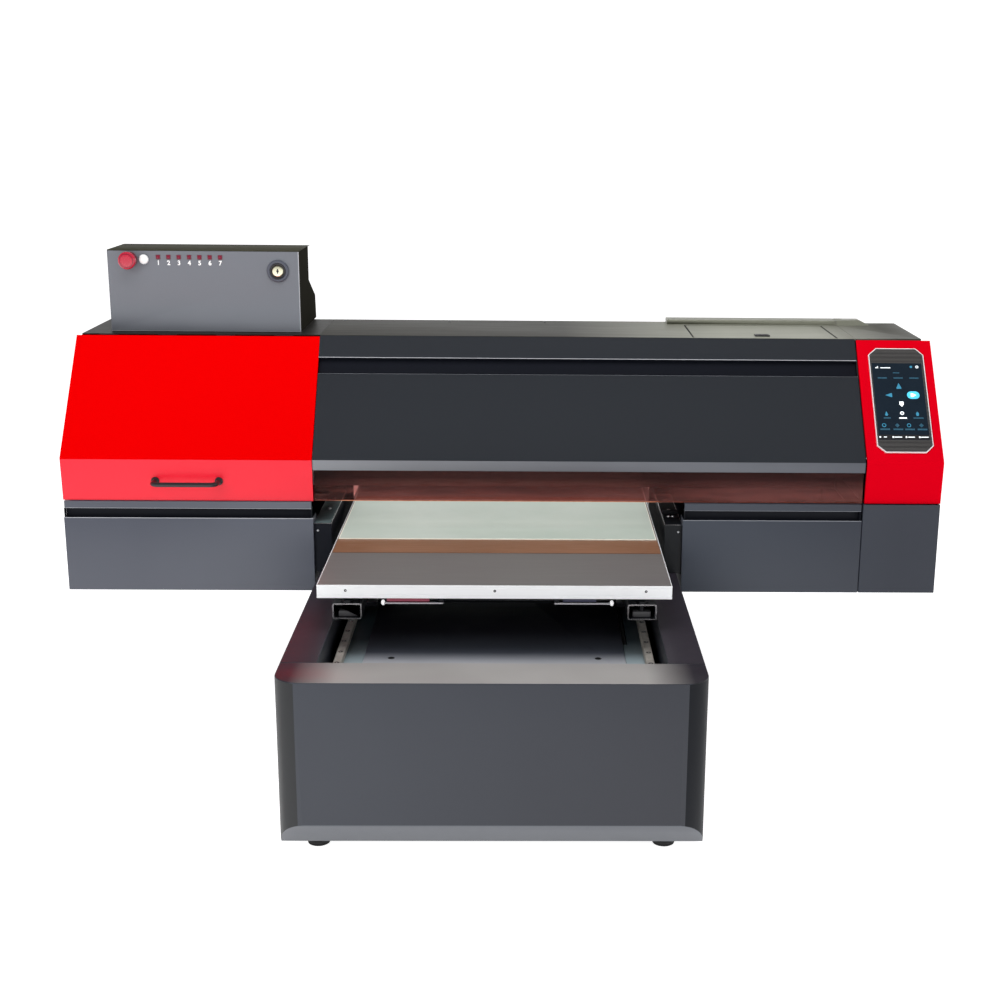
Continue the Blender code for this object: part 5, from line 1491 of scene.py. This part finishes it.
# lock: raised grey ring, black ring, pale core with its key slot
lx, lz = LOCK
bm = b_turn([(0.0172, -0.0002), (0.0237, -0.0002), (0.0237, -0.0026), (0.0226, -0.0040), (0.0205, -0.0047),
             (0.0186, -0.0046), (0.0172, -0.0038)], (lx, INK_Y0, lz), (0, 1, 0), 48, closed=True)
piece("lock_ring", bm, GREY, "frame")
bm = b_turn([(0.0125, -0.0002), (0.0171, -0.0002), (0.0171, -0.0042), (0.0160, -0.0053), (0.0142, -0.0053),
             (0.0130, -0.0044), (0.0125, -0.0030)], (lx, INK_Y0, lz), (0, 1, 0), 48, closed=True)
piece("lock_collar", bm, BLACK, "frame")
bm = b_turn([(0, -0.0056), (0.0095, -0.0056), (0.0112, -0.0050), (0.0120, -0.0040), (0.0120, 0.0160), (0, 0.0160)],
            (lx, INK_Y0, lz), (0, 1, 0), 48)
merge(bm, b_box(lx - 0.0012, lx + 0.0012, INK_Y0 - 0.0059, INK_Y0 - 0.0050, lz - 0.0050, lz + 0.0050, 0.0002, 1), 1)
merge(bm, b_turn([(0, -0.0058), (0.0026, -0.0058), (0.0026, -0.0050), (0, -0.0050)], (lx, INK_Y0, lz), (0, 1, 0),
                 20), 1)
piece("lock_core_face", bm, [CORE, BLACKSCREW], "lock", ("lock_core",))

# tanks: translucent bodies, black caps and the ribs round the caps
refine("ink_tank_bank", [TANK, BLACK], width=0.0008, rule=lambda c, n: 1 if c.z > 0.9303 else 0)
bm = bmesh.new()
for k in range(7):
    for j in range(12):
        a = 2 * math.pi * j / 12
        x, y = -0.780 + 0.05 * k + 0.0141 * math.cos(a), 0.9670 + 0.0141 * math.sin(a)
        merge(bm, b_box(x - 0.0010, x + 0.0010, y - 0.0010, y + 0.0010, 0.9315, 0.9440, 0.0003, 1))
piece("tank_cap_ribs", bm, BLACK, "frame")

# ---------------------------------------------------------------- any node still showing its CAD surface
left = {"bed_saddle": BLACKCOAT}
for n, ob in NODES.items():
    if not ob.hide_render:
        ob.data.materials.clear()
        ob.data.materials.append(left.get(n, GREY))

# ---------------------------------------------------------------- stage
bm = bmesh.new()
bmesh.ops.create_grid(bm, x_segments=2, y_segments=2, size=30.0)
bmesh.ops.translate(bm, verts=bm.verts, vec=(0, 10.0, 0))
me = bpy.data.meshes.new("floor")
bm.to_mesh(me)
bm.free()
floor = bpy.data.objects.new("floor", me)
bpy.context.scene.collection.objects.link(floor)
fm, nt, b = new_material("floor_white")
vec = coords(nt)
tone = mix(nt, spread(nt, noise(nt, vec, 0.7, 2.0), 0, 1), (0.80, 0.80, 0.80), (0.83, 0.83, 0.83))
nt.links.new(tone, b.inputs["Base Color"])
b.inputs["Roughness"].default_value = 0.9
b.inputs["Specular IOR Level"].default_value = 0.1
b.inputs["Emission Color"].default_value = (1, 1, 1, 1)
b.inputs["Emission Strength"].default_value = 0.95
me.materials.append(fm)

world = bpy.data.worlds.new("studio")
bpy.context.scene.world = world
world.use_nodes = True
nt = world.node_tree
bg = nt.nodes["Background"]
tc = nt.nodes.new("ShaderNodeTexCoord")
sep = nt.nodes.new("ShaderNodeSeparateXYZ")
nt.links.new(tc.outputs["Generated"], sep.inputs[0])
ramp = nt.nodes.new("ShaderNodeValToRGB")
cr = ramp.color_ramp
cr.elements[0].position, cr.elements[0].color = 0.0, (1.0, 1.0, 1.0, 1)
cr.elements[1].position, cr.elements[1].color = 1.0, (0.14, 0.14, 0.14, 1)
for p, v in ((0.10, 1.0), (0.22, 0.42), (0.45, 0.20), (0.70, 0.13)):
    e = cr.elements.new(p)
    e.color = (v, v, v, 1)
nt.links.new(sep.outputs["Z"], ramp.inputs["Fac"])
side = nt.nodes.new("ShaderNodeMapRange")
side.inputs["From Min"].default_value = -0.2
side.inputs["From Max"].default_value = 0.9
side.inputs["To Min"].default_value = 1.0
side.inputs["To Max"].default_value = 2.2
dotn = nt.nodes.new("ShaderNodeVectorMath")
dotn.operation = "DOT_PRODUCT"
dotn.inputs[1].default_value = (0.75, 0.66, 0.0)
nt.links.new(tc.outputs["Generated"], dotn.inputs[0])
nt.links.new(dotn.outputs["Value"], side.inputs["Value"])
nt.links.new(ramp.outputs["Color"], bg.inputs["Color"])
nt.links.new(side.outputs["Result"], bg.inputs["Strength"])


def area(name, at, aim, size, power, colour=(1, 1, 1), glossy=True):
    l = bpy.data.lights.new(name, "AREA")
    l.shape = "RECTANGLE"
    l.size, l.size_y = size
    l.energy = power
    l.color = colour
    o = bpy.data.objects.new(name, l)
    bpy.context.scene.collection.objects.link(o)
    o.location = at
    o.rotation_mode = "QUATERNION"
    o.rotation_quaternion = (Vector(aim) - Vector(at)).to_track_quat("-Z", "Y")
    o.visible_glossy = glossy
    return o


area("key", (-2.3, -3.4, 2.6), (-0.1, 0, 0.5), (2.6, 2.0), 62, (1.0, 0.99, 0.98), False)
area("fill", (2.6, -3.0, 2.2), (0.2, 0, 0.5), (2.0, 2.0), 4, (0.96, 0.98, 1.0), False)
area("overhead", (0.0, -1.0, 3.1), (0, -0.25, 0.4), (3.0, 1.6), 62, (1, 1, 1), False)
lamp = area("bed_lamp", (OX, 0.830 + OY, 0.4590), (OX, 0.830 + OY, 0.0), (0.70, 0.30), 0.56, (1, 1, 1), False)
lamp.visible_camera = False

# camera at the photograph's angle
cam_data = bpy.data.cameras.new("camera")
cam_data.lens = 55.75
cam_data.sensor_width = 36.0
cam_data.sensor_fit = "HORIZONTAL"
cam_data.shift_x = -0.05267
cam_data.shift_y = 0.03026
cam_data.clip_end = 200.0
cam = bpy.data.objects.new("camera", cam_data)
bpy.context.scene.collection.objects.link(cam)
yaw, pitch, roll = math.radians(1.0743), math.radians(15.1798), math.radians(0.5478)
fw = Vector((math.sin(yaw) * math.cos(pitch), math.cos(yaw) * math.cos(pitch), -math.sin(pitch)))
rt = Vector((math.cos(yaw), -math.sin(yaw), 0.0))
up = rt.cross(fw)
c, s = math.cos(roll), math.sin(roll)
rt2, up2 = rt * c + up * s, up * c - rt * s
rot = Matrix((rt2, up2, -fw)).transposed()
cam.matrix_world = Matrix.Translation((0.0433, -3.32835, 1.2919)) @ rot.to_4x4()
bpy.context.scene.camera = cam

vs = bpy.context.scene.view_settings
vs.view_transform = "Standard"
vs.look = "None"
vs.exposure = 0.0
vs.gamma = 1.0
